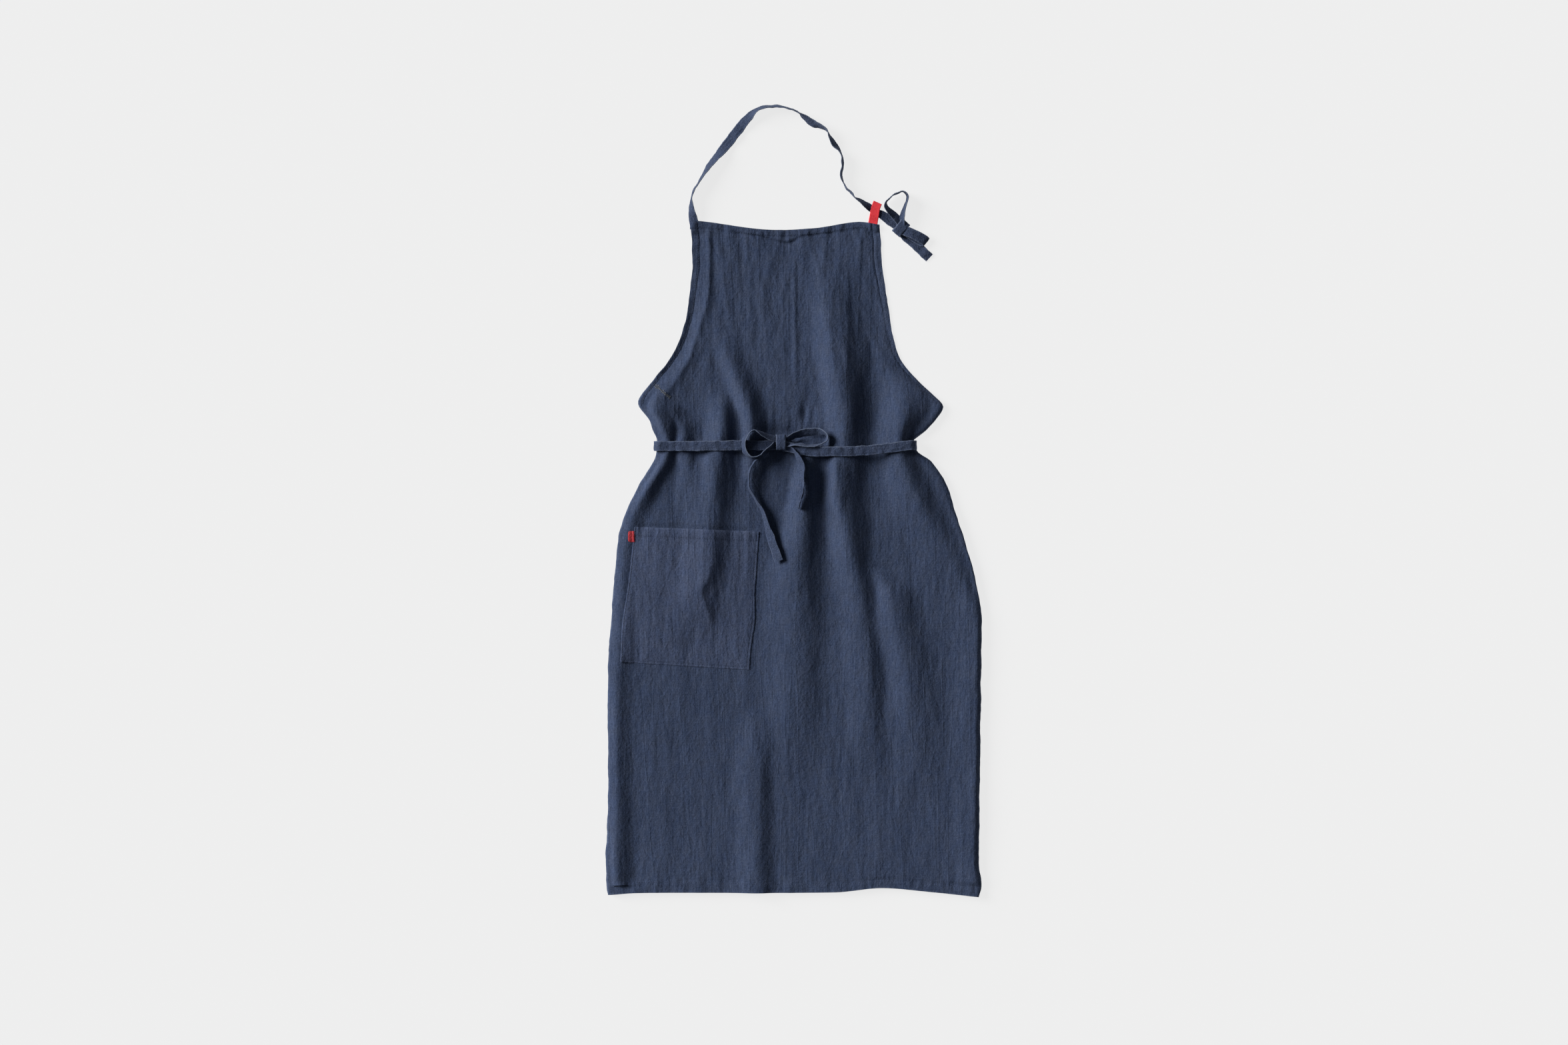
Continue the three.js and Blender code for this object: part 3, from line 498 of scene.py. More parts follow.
def edge_wear(depth, x, y):
    """How rubbed the cloth is near an edge, patchy along it."""
    patchy = np.clip(0.6 + 0.7 * noise(x / 16, y / 16, 61), 0, 1)
    return bell(np.maximum(depth, 0), WEAR_REACH) * patchy


def grid_faces(rows, columns):
    i, j = np.meshgrid(np.arange(rows - 1), np.arange(columns - 1), indexing="ij")
    a = (i * columns + j).ravel()
    return np.stack([a, a + columns, a + columns + 1, a + 1], axis=1)


# Body: bib, front and the two wings under it

BODY_ROW_STEP = 4.1
HEM_ROW_STEP = 1.5
TOP_BAND = 30.0
FOOT_BAND = 22.0
EDGE_WAVE = 70.0
BODY_COLUMNS = 132
EDGE_DEPTHS = np.array([0.0, 0.7, 1.8, 3.4, 5.6, 7.6, 9.2, 10.2, 11.2, 13.0])
WING_DEPTHS = np.array([0.8, 2.2, 4.4, 6.8, 9.5, 16.0])
WING_COLUMNS = 9


def body_rows():
    spans = [
        (TOP_Y, TOP_Y - TOP_BAND, HEM_ROW_STEP), (TOP_Y - TOP_BAND, ARMPIT_Y, BODY_ROW_STEP),
        (ARMPIT_Y, FOOT_Y + FOOT_BAND, BODY_ROW_STEP), (FOOT_Y + FOOT_BAND, FOOT_Y, 2 * HEM_ROW_STEP),
    ]
    rows = [TOP_Y]
    for above, below, step in spans:
        rows += np.linspace(above, below, math.ceil((above - below) / step) + 1)[1:].tolist()
    return np.array(rows)


def row_places(row, x):
    """Where a row of the flat outline comes to lie, between the wavy top and foot edges."""
    near_top = smooth(row, TOP_Y - EDGE_WAVE, TOP_Y)
    near_foot = 1 - smooth(row, FOOT_Y, FOOT_Y + EDGE_WAVE)
    return row + near_top * (bib_top(x) - TOP_Y) + near_foot * (foot_edge(x) - FOOT_Y)


def hem_profile(depth, hem, groove):
    """A turned hem's lift at a depth from its edge: a flat turn, then the soft groove of its seam."""
    turn = HEM_STEP * (1 - smooth(depth - hem, -1.2, 1.2))
    return turn - groove * bell(depth - hem - 0.3, 1.5)


def pucker(along, across, depth, hem, seed, size=PUCKER):
    """Small gathers that a seam draws in the cloth on both its sides."""
    near = bell(depth - 0.8 * hem, 8) * smooth(depth, -1, 3)
    return size * noise(along / PUCKER_SPAN, across / 40, seed) * near


def foot_hem(x):
    return FOOT_HEM_LEFT + (FOOT_HEM_RIGHT - FOOT_HEM_LEFT) * smooth(x, -200, 100)


def hem_lift(row, x):
    """Extra height of the turned hems. The left armhole's hem curls up a little."""
    below_top = TOP_Y - row
    above_foot = row - FOOT_Y
    from_left = x - left_edge(row)
    from_right = right_edge(row) - x
    foot_groove = 0.3 + 0.8 * (1 - smooth(x, -235, -190)) + 1.6 * smooth(x, 60, 120)
    right_groove = 0.8 + 0.4 * smooth(row, 240, 340)
    lift = hem_profile(below_top, BIB_HEM, 0.45) + pucker(x, row, below_top, BIB_HEM, 21, BIB_PUCKER)
    lift = lift + BIB_CURL * (1 - smooth(below_top / BIB_HEM, 0, 1))
    lift = lift + hem_profile(above_foot, foot_hem(x), foot_groove)
    lift = lift + pucker(x, row, above_foot, foot_hem(x), 22, FOOT_PUCKER)
    left = hem_profile(from_left, left_hem(row), 0.5) + pucker(row, x, from_left, left_hem(row), 23)
    curl = LEFT_CURL + (LEFT_CURL_HIGH - LEFT_CURL) * smooth(row, 250, 320)
    left = left + curl * (1 - smooth(from_left / left_hem(row), 0, 1))
    right = hem_profile(from_right, right_hem(row), right_groove)
    right = right + pucker(row, x, from_right, right_hem(row), 24)
    return lift + smooth(row, ARMPIT_Y - 2, ARMPIT_Y + 8) * (left + right)


def wing_row(side, row, fold_point):
    """One row of a wing, from the fold at the front's side to the wing's free edge."""
    reach = abs(fold_point[0]) - WING_EDGE
    depths = np.concatenate([WING_DEPTHS, np.linspace(WING_DEPTHS[-1], reach, WING_COLUMNS + 1)[1:]])
    drop = (ARMPIT_Y - row) / (ARMPIT_Y - FOOT_Y)
    armhole = (ARMPIT_Y - WAIST_Y - TIE_WIDTH / 2) * (1 - (1 - depths / reach) ** 2.2)
    tuck = WING_TUCK * drop ** 4 * smooth(depths, 0, 60)
    y = fold_point[1] - armhole * (1 - drop) + tuck
    near_tie = 1 - smooth(np.abs(y - WAIST_Y), TIE_WIDTH, 3 * TIE_WIDTH)
    level = CLOTH / 2 + 0.15 + TIE_BUMP * near_tie
    x = fold_point[0] - side * depths
    level = level + np.maximum(0, layered(WING_CRUMPLES, x, y))
    z = fold_point[2] + (level - fold_point[2]) * quarter_round(depths / FOLD_ROLL)
    return np.stack([x, y, z], axis=1)


def body_mesh():
    """The body as one closed cloth, row by row, with its wear and its seams."""
    wings = len(WING_DEPTHS) + WING_COLUMNS
    rows = body_rows()
    points = []
    wear = []
    grid = []
    for row in rows:
        left, right = float(left_edge(row)), float(right_edge(row))
        middle = np.linspace(left + EDGE_DEPTHS[-1], right - EDGE_DEPTHS[-1], BODY_COLUMNS + 1)[1:-1]
        x = np.concatenate([left + EDGE_DEPTHS, middle, (right - EDGE_DEPTHS)[::-1]])
        y = row_places(row, x)
        z = front_height(x, np.full(x.shape, row)) + hem_lift(row, x) + ledge_heights(x, y)
        front = np.stack([x, y, z], axis=1)
        inset = np.minimum(np.minimum(x - left, right - x), min(TOP_Y - row, row - FOOT_Y))
        rubbed = edge_wear(inset, x, y)
        folded = row <= ARMPIT_Y
        parts = [front]
        if folded:
            parts = [wing_row(-1, row, front[0])[::-1], front, wing_row(1, row, front[-1])]
            rubbed = np.pad(rubbed, wings)
        line = np.concatenate(parts)
        first = len(points)
        points.extend(line)
        wear.extend(rubbed)
        numbers = np.arange(first, first + len(line))
        if not folded:
            blank = np.full(wings, -1)
            numbers = np.concatenate([blank, numbers, blank])
        grid.append(numbers)
    grid = np.array(grid)
    faces = np.stack([grid[:-1, :-1], grid[1:, :-1], grid[1:, 1:], grid[:-1, 1:]], axis=-1).reshape(-1, 4)
    faces = faces[(faces >= 0).all(axis=1)]
    both, faces = thicken(np.array(points), faces, CLOTH)
    both[:, 2] = np.maximum(both[:, 2], FLOOR_GAP)
    front_top_points = both[grid[:, wings:-wings]]
    return both, faces, wear + wear, body_seams(front_top_points, rows)


def body_seams(top, rows):
    """Where the hems are stitched: lines on the front's upper face, given row by row."""
    seams = [top[np.argmin(np.abs(rows - TOP_Y + BIB_HEM - SEAM_INSET)), 7:-7]]
    foot = []
    for column in range(1, top.shape[1] - 1):
        height = FOOT_Y + foot_hem(top[-1, column, 0]) - SEAM_INSET
        foot.append(read_line(height, rows[::-1], top[::-1, column]))
    seams.append(np.array(foot))
    for hem, line in ((left_hem, top), (right_hem, top[:, ::-1])):
        armhole = []
        for number in np.flatnonzero((rows > ARMPIT_Y + 4) & (rows < TOP_Y - 1)):
            depth = float(hem(rows[number])) - SEAM_INSET
            armhole.append(read_line(depth, EDGE_DEPTHS, line[number, :len(EDGE_DEPTHS)]))
        seams.append(np.array(armhole))
    return [upright_seam(line) for line in seams]


# Stitches

SEAM_INSET = 1.3
STITCH = 2.6
STITCH_GAP = 0.8
THREAD = 0.28


def upright_seam(line):
    return line, np.tile([0.0, 0.0, 1.0], (len(line), 1))


def stitch_mesh(seams, length=STITCH, gap=STITCH_GAP, radius=THREAD):
    """Short loops of thread along lines with normals, each sunk in the cloth at both its ends."""
    loops = []
    for line, normals in seams:
        run = run_lengths(line)
        starts = np.arange(0.5, run[-1] - length, length + gap)
        places = starts[:, None] + length * np.array([0, 0.2, 0.8, 1])
        middle = read_line(places, run, line)
        up = read_line(places, run, normals)
        way = middle[:, -1:] - middle[:, :1]
        aside = np.cross(up, way)
        aside /= np.maximum(np.linalg.norm(aside, axis=-1, keepdims=True), 1e-9)
        lift = up * (radius * np.array([-0.5, 0.45, 0.45, -0.5]))[:, None]
        thick = (radius * np.array([0.5, 1, 1, 0.5]))[:, None]
        ring = [middle + lift + aside * thick, middle + lift + up * thick * 0.8]
        ring += [middle + lift - aside * thick, middle + lift - up * thick * 0.8]
        loops.append(np.stack(ring, axis=2).reshape(-1, 3))
    points = np.concatenate(loops)
    points[:, 2] = np.maximum(points[:, 2], FLOOR_GAP)
    one = [(3, 2, 1, 0), (12, 13, 14, 15)]
    for k in range(12):
        beside = k - k % 4 + (k + 1) % 4
        one.append((k, beside, beside + 4, k + 4))
    first = 16 * np.arange(len(points) // 16)
    return points, (first[:, None, None] + np.array(one)).reshape(-1, 4)


# Bartack at the left armpit: a zigzag of pale thread, from end to end, and how far it swings.
BARTACK_ENDS = ((-197.0, 165.0), (-175.5, 147.0))
BARTACK_SWING = 4.0
BARTACK_TURNS = 28
BARTACK_STITCH = 3.0
BARTACK_GAP = 0.1
BARTACK_THREAD = 0.34


def bartack_seam():
    """The zigzag line that the bartack's thread follows."""
    start, end = np.array(BARTACK_ENDS)
    number = np.arange(BARTACK_TURNS)
    across = np.array([start[1] - end[1], end[0] - start[0]]) / np.linalg.norm(end - start)
    swing = BARTACK_SWING * (-1.0) ** number * (0.75 + 0.5 * noise(number / 3, 0.5, 95))
    place = start + np.outer(number / (BARTACK_TURNS - 1), end - start) + np.outer(swing, across)
    level = front_top(place[:, 0], place[:, 1]) + hem_lift(place[:, 1], place[:, 0])
    return upright_seam(np.column_stack([place, level + 0.3]))


# Pocket

POCKET_WIDTH = 185.0
POCKET_DEPTH = 195.0
POCKET_PUFF = 4.5
POCKET_SEAM = 2.6
POCKET_STEPS = 96


def pocket_place(across, down):
    """Where a share across and down the pocket lies, with its side edges a little bulged."""
    top, foot = (left + np.multiply.outer(across, right - left) for left, right in POCKET_CORNERS)
    place = top + (foot - top) * np.asarray(down)[..., None]
    bulge_right = 3.2 * bell(down - 0.64, 0.14) * smooth(across, 0.8, 1)
    bulge_left = 3.0 * bell(down - 0.72, 0.2) * (1 - smooth(across, 0, 0.2))
    return place[..., 0] + bulge_right - bulge_left, place[..., 1]


def pocket_height(across, down):
    """Places and heights on the pocket: slack, hemmed and puckered along its seams."""
    x, y = pocket_place(across, down)
    slack = 1 - 0.7 * smooth(across, 0.3, 0.6)
    puff = POCKET_PUFF * slack * (1 - (2 * across - 1) ** 4) * (1 - down ** 4)
    under = np.maximum.reduce([front_height(x + aside, y, 0.5) for aside in (-3, 0, 3)])
    side = np.minimum(across, 1 - across) * POCKET_WIDTH
    foot = (1 - down) * POCKET_DEPTH
    mouth = down * POCKET_DEPTH
    seam = np.minimum(side, foot)
    sewn = 0.45 * bell(seam - POCKET_SEAM, 1.0)
    foot_pucker = 0.55 * noise(x / 5, y / 30, 41) * bell(foot, 11)
    hem_pucker = 0.6 * noise(x / 4.6, y / 30, 42) * bell(mouth - POCKET_HEM * 0.7, 9)
    side_pucker = 0.35 * noise(y / 5.5, x / 30, 43) * bell(side, 8)
    crumple = layered(POCKET_CRUMPLES, x, y) * smooth(seam, 2, 14)
    detail = crumple + foot_pucker + hem_pucker + side_pucker
    edge = 0.5 * (1 - smooth(seam, 0, 1.2))
    hem = hem_profile(mouth, POCKET_HEM, 0.1)
    return x, y, under + CLOTH + 0.2 + puff + hem + detail - sewn - edge


def pocket_mesh():
    """The pocket's closed cloth, with its wear and its seams."""
    steps = np.linspace(0, 1, POCKET_STEPS + 1)
    ends = np.array([0.004, 0.009, 0.014, 0.02])
    shares = np.unique(np.concatenate([steps, ends, 1 - ends]))
    across, down = np.meshgrid(shares, shares)
    x, y, z = pocket_height(across, down)
    points = np.stack([x, y, z], axis=-1).reshape(-1, 3)
    both, faces = thicken(points, grid_faces(len(shares), len(shares)), CLOTH)
    top = both[:len(points)].reshape(x.shape + (3,))
    sewn = np.argmin(np.abs(shares * POCKET_WIDTH - POCKET_SEAM))
    hem = np.argmin(np.abs(shares * POCKET_DEPTH - POCKET_HEM + SEAM_INSET))
    lines = [top[:, sewn], top[:, -1 - sewn], top[-1 - sewn], top[hem, 2:-2]]
    side = np.minimum(across, 1 - across) * POCKET_WIDTH
    inset = np.minimum(side, np.minimum(down, 1 - down) * POCKET_DEPTH)
    wear = edge_wear(inset, x, y).ravel()
    return both, faces, np.concatenate([wear, wear]), [upright_seam(line) for line in lines]


# Straps, ties and bows

# Routes seen from above: x, y, turn. A strap lies flat at a turn of 0 and stands on edge at 90 or -90.
# Above 0 the edge on the left of its travel is up, and below 0 the one on the right. Past 90 it leans over.
NECK_ROUTE = [
    (-140.6, 388, 0), (-141, 393, -4), (-142.3, 399, -20), (-144.4, 410, -42), (-145.5, 419.4, -66),
    (-145.1, 429, -78), (-144.2, 435.6, -80), (-141.6, 443, -80), (-136.3, 451, -80), (-132, 459, -76),
    (-127, 467, -70), (-120.7, 476.4, -58), (-109.7, 490, -38), (-95, 508, -14), (-83.6, 523, -12),
    (-74.1, 535, -18), (-64.6, 546.3, -30), (-55.6, 555.3, -52), (-47.5, 560, -68), (-41, 561.5, -72),
    (-30.4, 562.4, -72), (-19, 562.4, -71), (-9.5, 560.5, -73), (0, 557.7, -76), (6.7, 554.3, -86),
    (14.2, 548.6, -110), (21.9, 542.5, -125), (29.5, 537.2, -126), (37, 535, -114), (43.7, 531.5, -101),
    (48.5, 527.3, -92), (52.3, 519.7, -76), (56.5, 511.6, -58), (61.8, 505, -66), (66.5, 498.8, -80),
    (69.4, 492.6, -84), (70.3, 485, -82), (70.8, 476.4, -82), (68.4, 469.3, -80), (68.4, 462.2, -82),
    (70.3, 456.5, -80), (73.2, 450.8, -86), (75.5, 446, -94), (80.8, 441.3, -96), (84.6, 437.5, -92),
    (87.9, 432.7, -84), (95, 428.5, -72), (101.7, 423.7, -54), (108.8, 418.5, -28), (115.9, 413.7, -4),
    (125.4, 408.5, 0), (134.9, 402.3, 0), (143.5, 396.6, 0), (153, 389, 0),
]
NECK_LOOP_UPPER = [
    (153, 391, 150), (153.9, 402.3, 128), (156.8, 411.8, 112), (159.6, 421.3, 103), (162, 429, 99),
    (162.5, 434.2, 96), (159.6, 438.9, 92), (155.3, 440.8, 90), (149.2, 438.4, 88), (143.5, 436.5, 87),
    (137.8, 431.8, 88), (132.5, 426.1, 96), (131.8, 420.4, 112), (136.2, 414.2, 126), (143, 407.5, 138),
    (152, 398, 150),
]
NECK_TAIL = [(152, 387, 0), (164, 374.5, 0), (176.2, 363.9, 4), (185.5, 355, 6), (194.3, 346.8, 0)]
TIE_LEFT_FRONT = [(-20, 80, 0), (-40, 79, 0), (-71, 79, 0), (-123, 78, 0), (-189.5, 78, 0)]
TIE_RIGHT_FRONT = [(-14, 78, 0), (18, 71, 0), (53, 70, 0), (95, 71, 0), (133, 75, 0), (166, 79, 0)]
BOW_LOOP_LEFT = [
    (-19, 87, 50), (-27, 88.5, 48), (-37, 91.3, 55), (-47, 96.6, 70), (-54, 99.6, 84), (-60, 98.3, 87),
    (-65, 93.6, 78), (-70.3, 86, 67), (-71.3, 78.4, 61), (-68.4, 69.8, 64), (-61.8, 63.2, 76),
    (-55.1, 61.3, 84), (-47.5, 64.6, 86), (-38, 72.7, 84), (-30, 78, 70), (-25, 80, 46), (-19, 81, 28),
]
BOW_LOOP_RIGHT = [
    (-16, 87, 70), (-9.5, 87.5, 66), (-2.9, 90.6, 56), (4.8, 94.2, 46), (17.1, 97.6, 40), (28.5, 98.4, 40),
    (38, 97.8, 50), (44.5, 95.4, 68), (48.2, 91.5, 80), (45.6, 85.5, 82), (39, 80.8, 82), (30.4, 78.4, 80),
    (17.1, 78.4, 77), (3, 80.2, 70), (-6, 81.4, 46), (-16, 83, 28),
]
BOW_TAIL_LEFT = [
    (-19, 80, 70), (-30.4, 77, 80), (-38, 72.2, 84), (-46.6, 64.1, 84), (-54.2, 57, 82), (-59.9, 49, 80),
    (-63.2, 39.4, 78), (-63.7, 30, 77), (-63.2, 20.4, 79), (-60.3, 12.4, 77), (-55.6, 4.3, 73),
    (-49.9, -5.2, 70), (-43.7, -14.7, 62), (-40.4, -25.2, 52), (-36.1, -40.4, 40), (-30.9, -55.6, 28),
    (-25.7, -70.8, 22), (-20.4, -85.5, 18),
]
BOW_TAIL_RIGHT = [
    (-16, 79, 80), (-10.5, 77.4, 84), (-3.8, 75.5, 78), (1, 71.3, 68), (5.5, 64.1, 58), (9.5, 56.5, 52),
    (12.2, 48, 50), (12.9, 39.4, 50), (12.4, 31.8, 57), (14.6, 21.4, 76), (14.3, 11.9, 90), (10.9, 1.4, 94),
    (7.1, -11.4, 94),
]

# Bands that double back on themselves: x, y, height, way of the width in degrees.
NECK_LOOP_LOWER = [
    (154, 388, 6, 62), (162, 384, 9, 66), (170, 380.5, 9.6, 66), (180, 375.5, 8.8, 62),
    (187, 371.5, 7.2, 57), (189.8, 369, 5, 54), (187, 368.5, 3.1, 52), (180, 371.5, 2.6, 50),
    (171.7, 377.3, 2.6, 50), (158, 386, 3.4, 50),
]
RED_LOOP = [
    (112.8, 391, 0.55, -12), (113.7, 397, 0.55, -11), (115.6, 408, 0.55, -11), (117.2, 417, 0.7, -17),
    (119.5, 423, 1.5, -22), (120.5, 425.4, 3, -24), (119.6, 423.6, 4.4, -22), (117.5, 418, 5.3, -17),
    (115.8, 409, 5, -11), (114, 398.5, 2.2, -11), (112.8, 391, 1.6, -12),
]

# Knots: x, y, way of the wrapped band in degrees, its width, its length and its height.
BOW_KNOT = (-18, 83, 90, 15, 22, 10)
BOW_KNOT_REACH = (38, 11)
BOW_KNOT_SAG = 3
NECK_KNOT = (153.5, 389.5, 50, 16, 23, 10)
NECK_KNOT_LEVEL = 5.3
NECK_LOOP_LIFT = 1.9
KNOT_STEPS = 72
KNOT_WALL = 2.2

STRAP_STEP = 1.75
TIE_SPAN = 16
BOW_SPAN = 12
TAIL_SPAN = 5
BOW_LIFT = SEAM_GAP + 0.5
TIE_SIDE = 8.5
TIE_SEWN = 8.0
TIE_CRUMPLE = 0.9
TURN_STEPS = 26
BACK_STEPS = 90
END_HEM = 14.0
TAIL_PINCH = 0.4
BACK_LOW = 0.8
BACK_HIGH = 2.3
LOOP_WIDTH = 13.0
LOOP_MIDDLE = (115.5, 413.5)
LOOP_REACH = 12.0
STRAP_STRAY = 0.5
STRAP_TWIST = 7.0
GATHER = 0.34

# A doubled, topstitched strap's section: share of the half width, share of the half wall.
STRAP_HALF = [
    (-1.0, 0.0), (-0.97, 0.62), (-0.87, 1.0), (-0.75, 0.72), (-0.62, 1.0), (-0.3, 1.06), (0.3, 1.06),
    (0.62, 1.0), (0.75, 0.72), (0.87, 1.0), (0.97, 0.62),
]
STRAP_SECTION = np.array(STRAP_HALF + [(-v, -t) for v, t in STRAP_HALF])
SEAM_ABOVE = 8
SEAM_BELOW = len(STRAP_HALF) + 3


def near_loop(x, y):
    """How close a place is to where the neck strap runs through the red loop."""
    return np.exp(-((x - LOOP_MIDDLE[0]) ** 2 + (y - LOOP_MIDDLE[1]) ** 2) / LOOP_REACH ** 2)


def under_neck_strap(x, y):
    """What the neck strap rests on: the floor, and the red loop's lower layer where it passes through."""
    return (TAPE + 0.5) * near_loop(x, y) ** 0.5


def bridged(values, reach):
    """The largest value near each place, smoothed: a strap spans the hollows between folds."""
    padded = np.pad(values, reach, mode="edge")
    window = 2 * reach + 1
    tops = np.array([padded[i:i + window].max() for i in range(len(values))])
    padded = np.pad(tops, reach, mode="edge")
    return np.convolve(padded, np.ones(window) / window, mode="valid")


def route_path(route, strap_width, ground, lift, reach, seed, pinch=0.0, gather=0.0):
    """Middle points and width vectors of a strap that lies along a route on the ground."""
    route = np.array(route, float)
    chord = run_lengths(route[:, :2])
    rows = np.column_stack([chord, route])
    places = np.linspace(0, chord[-1], math.ceil(chord[-1] / STRAP_STEP) + 1)
    x, y, turn = (curve(rows, k)(places) for k in (1, 2, 3))
    inner = smooth(places, 0, 12) * smooth(chord[-1] - places, 0, 12)
    turn = np.radians(turn + STRAP_TWIST * inner * noise(places / 12, 0.5, seed))
    way = np.stack([np.gradient(x), np.gradient(y)], axis=1)
    way /= np.linalg.norm(way, axis=1, keepdims=True)
    side = np.stack([-way[:, 1], way[:, 0]], axis=1)
    stray = STRAP_STRAY * inner * (noise(places / 11, 0.5, seed + 1) + 0.6 * noise(places / 5, 0.5, seed + 2))
    x = x + side[:, 0] * stray
    y = y + side[:, 1] * stray
    strap_width = strap_width * (1 - pinch * np.sin(turn) ** 2) * (1 - gather * near_loop(x, y))
    flat = strap_width * np.cos(turn)
    levels = []
    for share in (-0.5, -0.25, 0, 0.25, 0.5):
        levels.append(ground(x + side[:, 0] * flat * share, y + side[:, 1] * flat * share))
    level = np.max(levels, axis=0)
    if reach:
        level = bridged(level, reach)
    rise = strap_width / 2 * np.abs(np.sin(turn)) + STRAP_WALL / 2
    path = np.stack([x, y, level + lift + rise], axis=1)
    width = np.column_stack([side * flat[:, None], strap_width * np.sin(turn)])
    return path, width


def laid_path(rows, width):
    """Middle points and width vectors of a band through given points and heights."""
    rows = np.array(rows, float)
    chord = run_lengths(rows[:, :3])
    table = np.column_stack([chord, rows])
    places = np.linspace(0, chord[-1], math.ceil(chord[-1]) + 1)
    x, y, z, way = (curve(table, k)(places) for k in range(1, 5))
    way = np.radians(way)
    across = np.stack([np.cos(way), np.sin(way), np.zeros(len(way))], axis=1)
    return np.stack([x, y, z], axis=1), width * across


def sweep(path, width, wall, seed, crumple=0.3, closed=False, section=STRAP_SECTION, hemmed=False):
    """A strap of a given section swept along a path: points, faces, a map along it, its length and seams."""
    count = len(path)
    if closed:
        way = np.roll(path, -1, axis=0) - np.roll(path, 1, axis=0)
    else:
        way = np.gradient(path, axis=0)
    normal = np.cross(way, width)
    normal /= np.linalg.norm(normal, axis=1, keepdims=True)
    along = run_lengths(path)
    share, thick = section[:, 0], section[:, 1]
    half = np.linalg.norm(width, axis=1) / 2
    wave = crumple * noise(along[:, None] / 7, share[None, :] * 0.8 + 5, seed)
    edge = 1 + 0.06 * noise(along[:, None] / 9, np.sign(share)[None, :] * 3 + 0.5, seed + 1)
    points = path[:, None, :] + width[:, None, :] / 2 * (share * edge)[..., None]
    stout = np.ones(count)
    if hemmed:
        past_hem = along - along[-1] + END_HEM
        stout = 1 + 0.4 * smooth(past_hem, -0.8, 0.8) - 0.5 * bell(past_hem, 1.3)
    points = points + normal[:, None, :] * (thick * stout[:, None] * wall / 2 + wave)[..., None]
    points[..., 2] = np.maximum(points[..., 2], FLOOR_GAP)
    ring = len(section)
    spans = count if closed else count - 1
    i, k = np.meshgrid(np.arange(spans), np.arange(ring), indexing="ij")
    after_i = (i + 1) % count
    after_k = (k + 1) % ring
    corners = [i * ring + k, i * ring + after_k, after_i * ring + after_k, after_i * ring + k]
    faces = np.stack([c.ravel() for c in corners], axis=1).tolist()
    if not closed:
        faces.append(list(range(ring))[::-1])
        faces.append([(count - 1) * ring + k for k in range(ring)])
    uv = np.stack([half[:, None] * share, np.broadcast_to(along[:, None], (count, ring))], axis=-1)
    seams = []
    if section is STRAP_SECTION:
        seams = [(points[:, SEAM_ABOVE], normal), (points[:, SEAM_BELOW], -normal)]
    return points.reshape(-1, 3), faces, uv.reshape(-1, 2), along[-1], seams


def joined(*pieces):
    """Several swept pieces as one mesh, with their lengths added up and their seams together."""
    points, faces, uv, seams = [], [], [], []
    length = 0.0
    count = 0
    for piece_points, piece_faces, piece_uv, piece_length, piece_seams in pieces:
        points.append(piece_points)
        faces += [[k + count for k in face] for face in piece_faces]
        uv.append(piece_uv)
        seams += piece_seams
        length += piece_length
        count += len(piece_points)
    return np.concatenate(points), faces, np.concatenate(uv), length, seams


def tie_back(side, front_end, back_level):
    """A tie's way round one side and under the wings to the far wing's edge."""
    x, y, z = front_end
    angle = np.linspace(0, np.pi, TURN_STEPS)[1:]
    turn_x = x + side * TIE_SIDE * np.sin(angle)
    turn_z = BACK_LOW + (z - BACK_LOW) * (1 + np.cos(angle)) / 2
    end = -side * (WING_EDGE + TIE_SEWN)
    run_x = np.linspace(x, end, BACK_STEPS)[1:]
    across = smooth(-side * run_x, -WING_EDGE - 30, -WING_EDGE - 6)
    run_z = BACK_LOW + (back_level - BACK_LOW) * across
    path_x = np.concatenate([turn_x, run_x])
    path_z = np.concatenate([turn_z, run_z])
    path = np.column_stack([path_x, np.full(len(path_x), y), path_z])
    return path, np.tile([0.0, side * TIE_WIDTH, 0.0], (len(path), 1))


def tie_run(side, front, back_level, seed):
    """A tie from the bow along the front, then round one side and behind."""
    path, width = route_path(front, TIE_WIDTH, front_top, SEAM_GAP, TIE_SPAN, seed)
    back_path, back_width = tie_back(side, path[-1], back_level)
    path = np.concatenate([path, back_path])
    width = np.concatenate([width, back_width])
    return sweep(path, width, STRAP_WALL, seed, TIE_CRUMPLE)


def bow_part(route, seed, hemmed=False):
    pinch = TAIL_PINCH if hemmed else 0.0
    reach = TAIL_SPAN if hemmed else BOW_SPAN
    path, width = route_path(route, TIE_WIDTH, front_top, BOW_LIFT, reach, seed, pinch)
    return sweep(path, width, STRAP_WALL, seed, 0.5, hemmed=hemmed)


def neck_part(route, seed, lift=0.0, hemmed=False):
    path, width = route_path(route, NECK_WIDTH, under_neck_strap, lift, 0, seed, gather=GATHER)
    return sweep(path, width, STRAP_WALL, seed, 0.4, hemmed=hemmed)


def neck_flat_loop():
    path, width = laid_path(NECK_LOOP_LOWER, NECK_WIDTH)
    return sweep(path, width, STRAP_WALL, 53, 0.35)


# A wrapped knot's section: gathered in ribs along the wrap, flat on the whole.
KNOT_HALF = [
    (-1.0, 0.0), (-0.97, 0.6), (-0.88, 0.95), (-0.62, 1.05), (-0.46, 0.84), (-0.3, 1.0), (0.0, 1.08),
    (0.3, 1.02), (0.44, 0.84), (0.6, 1.04), (0.88, 0.95), (0.97, 0.6),
]
KNOT_SECTION = np.array(KNOT_HALF + [(1.0, 0.0), (0.6, -0.8), (-0.6, -0.8)])


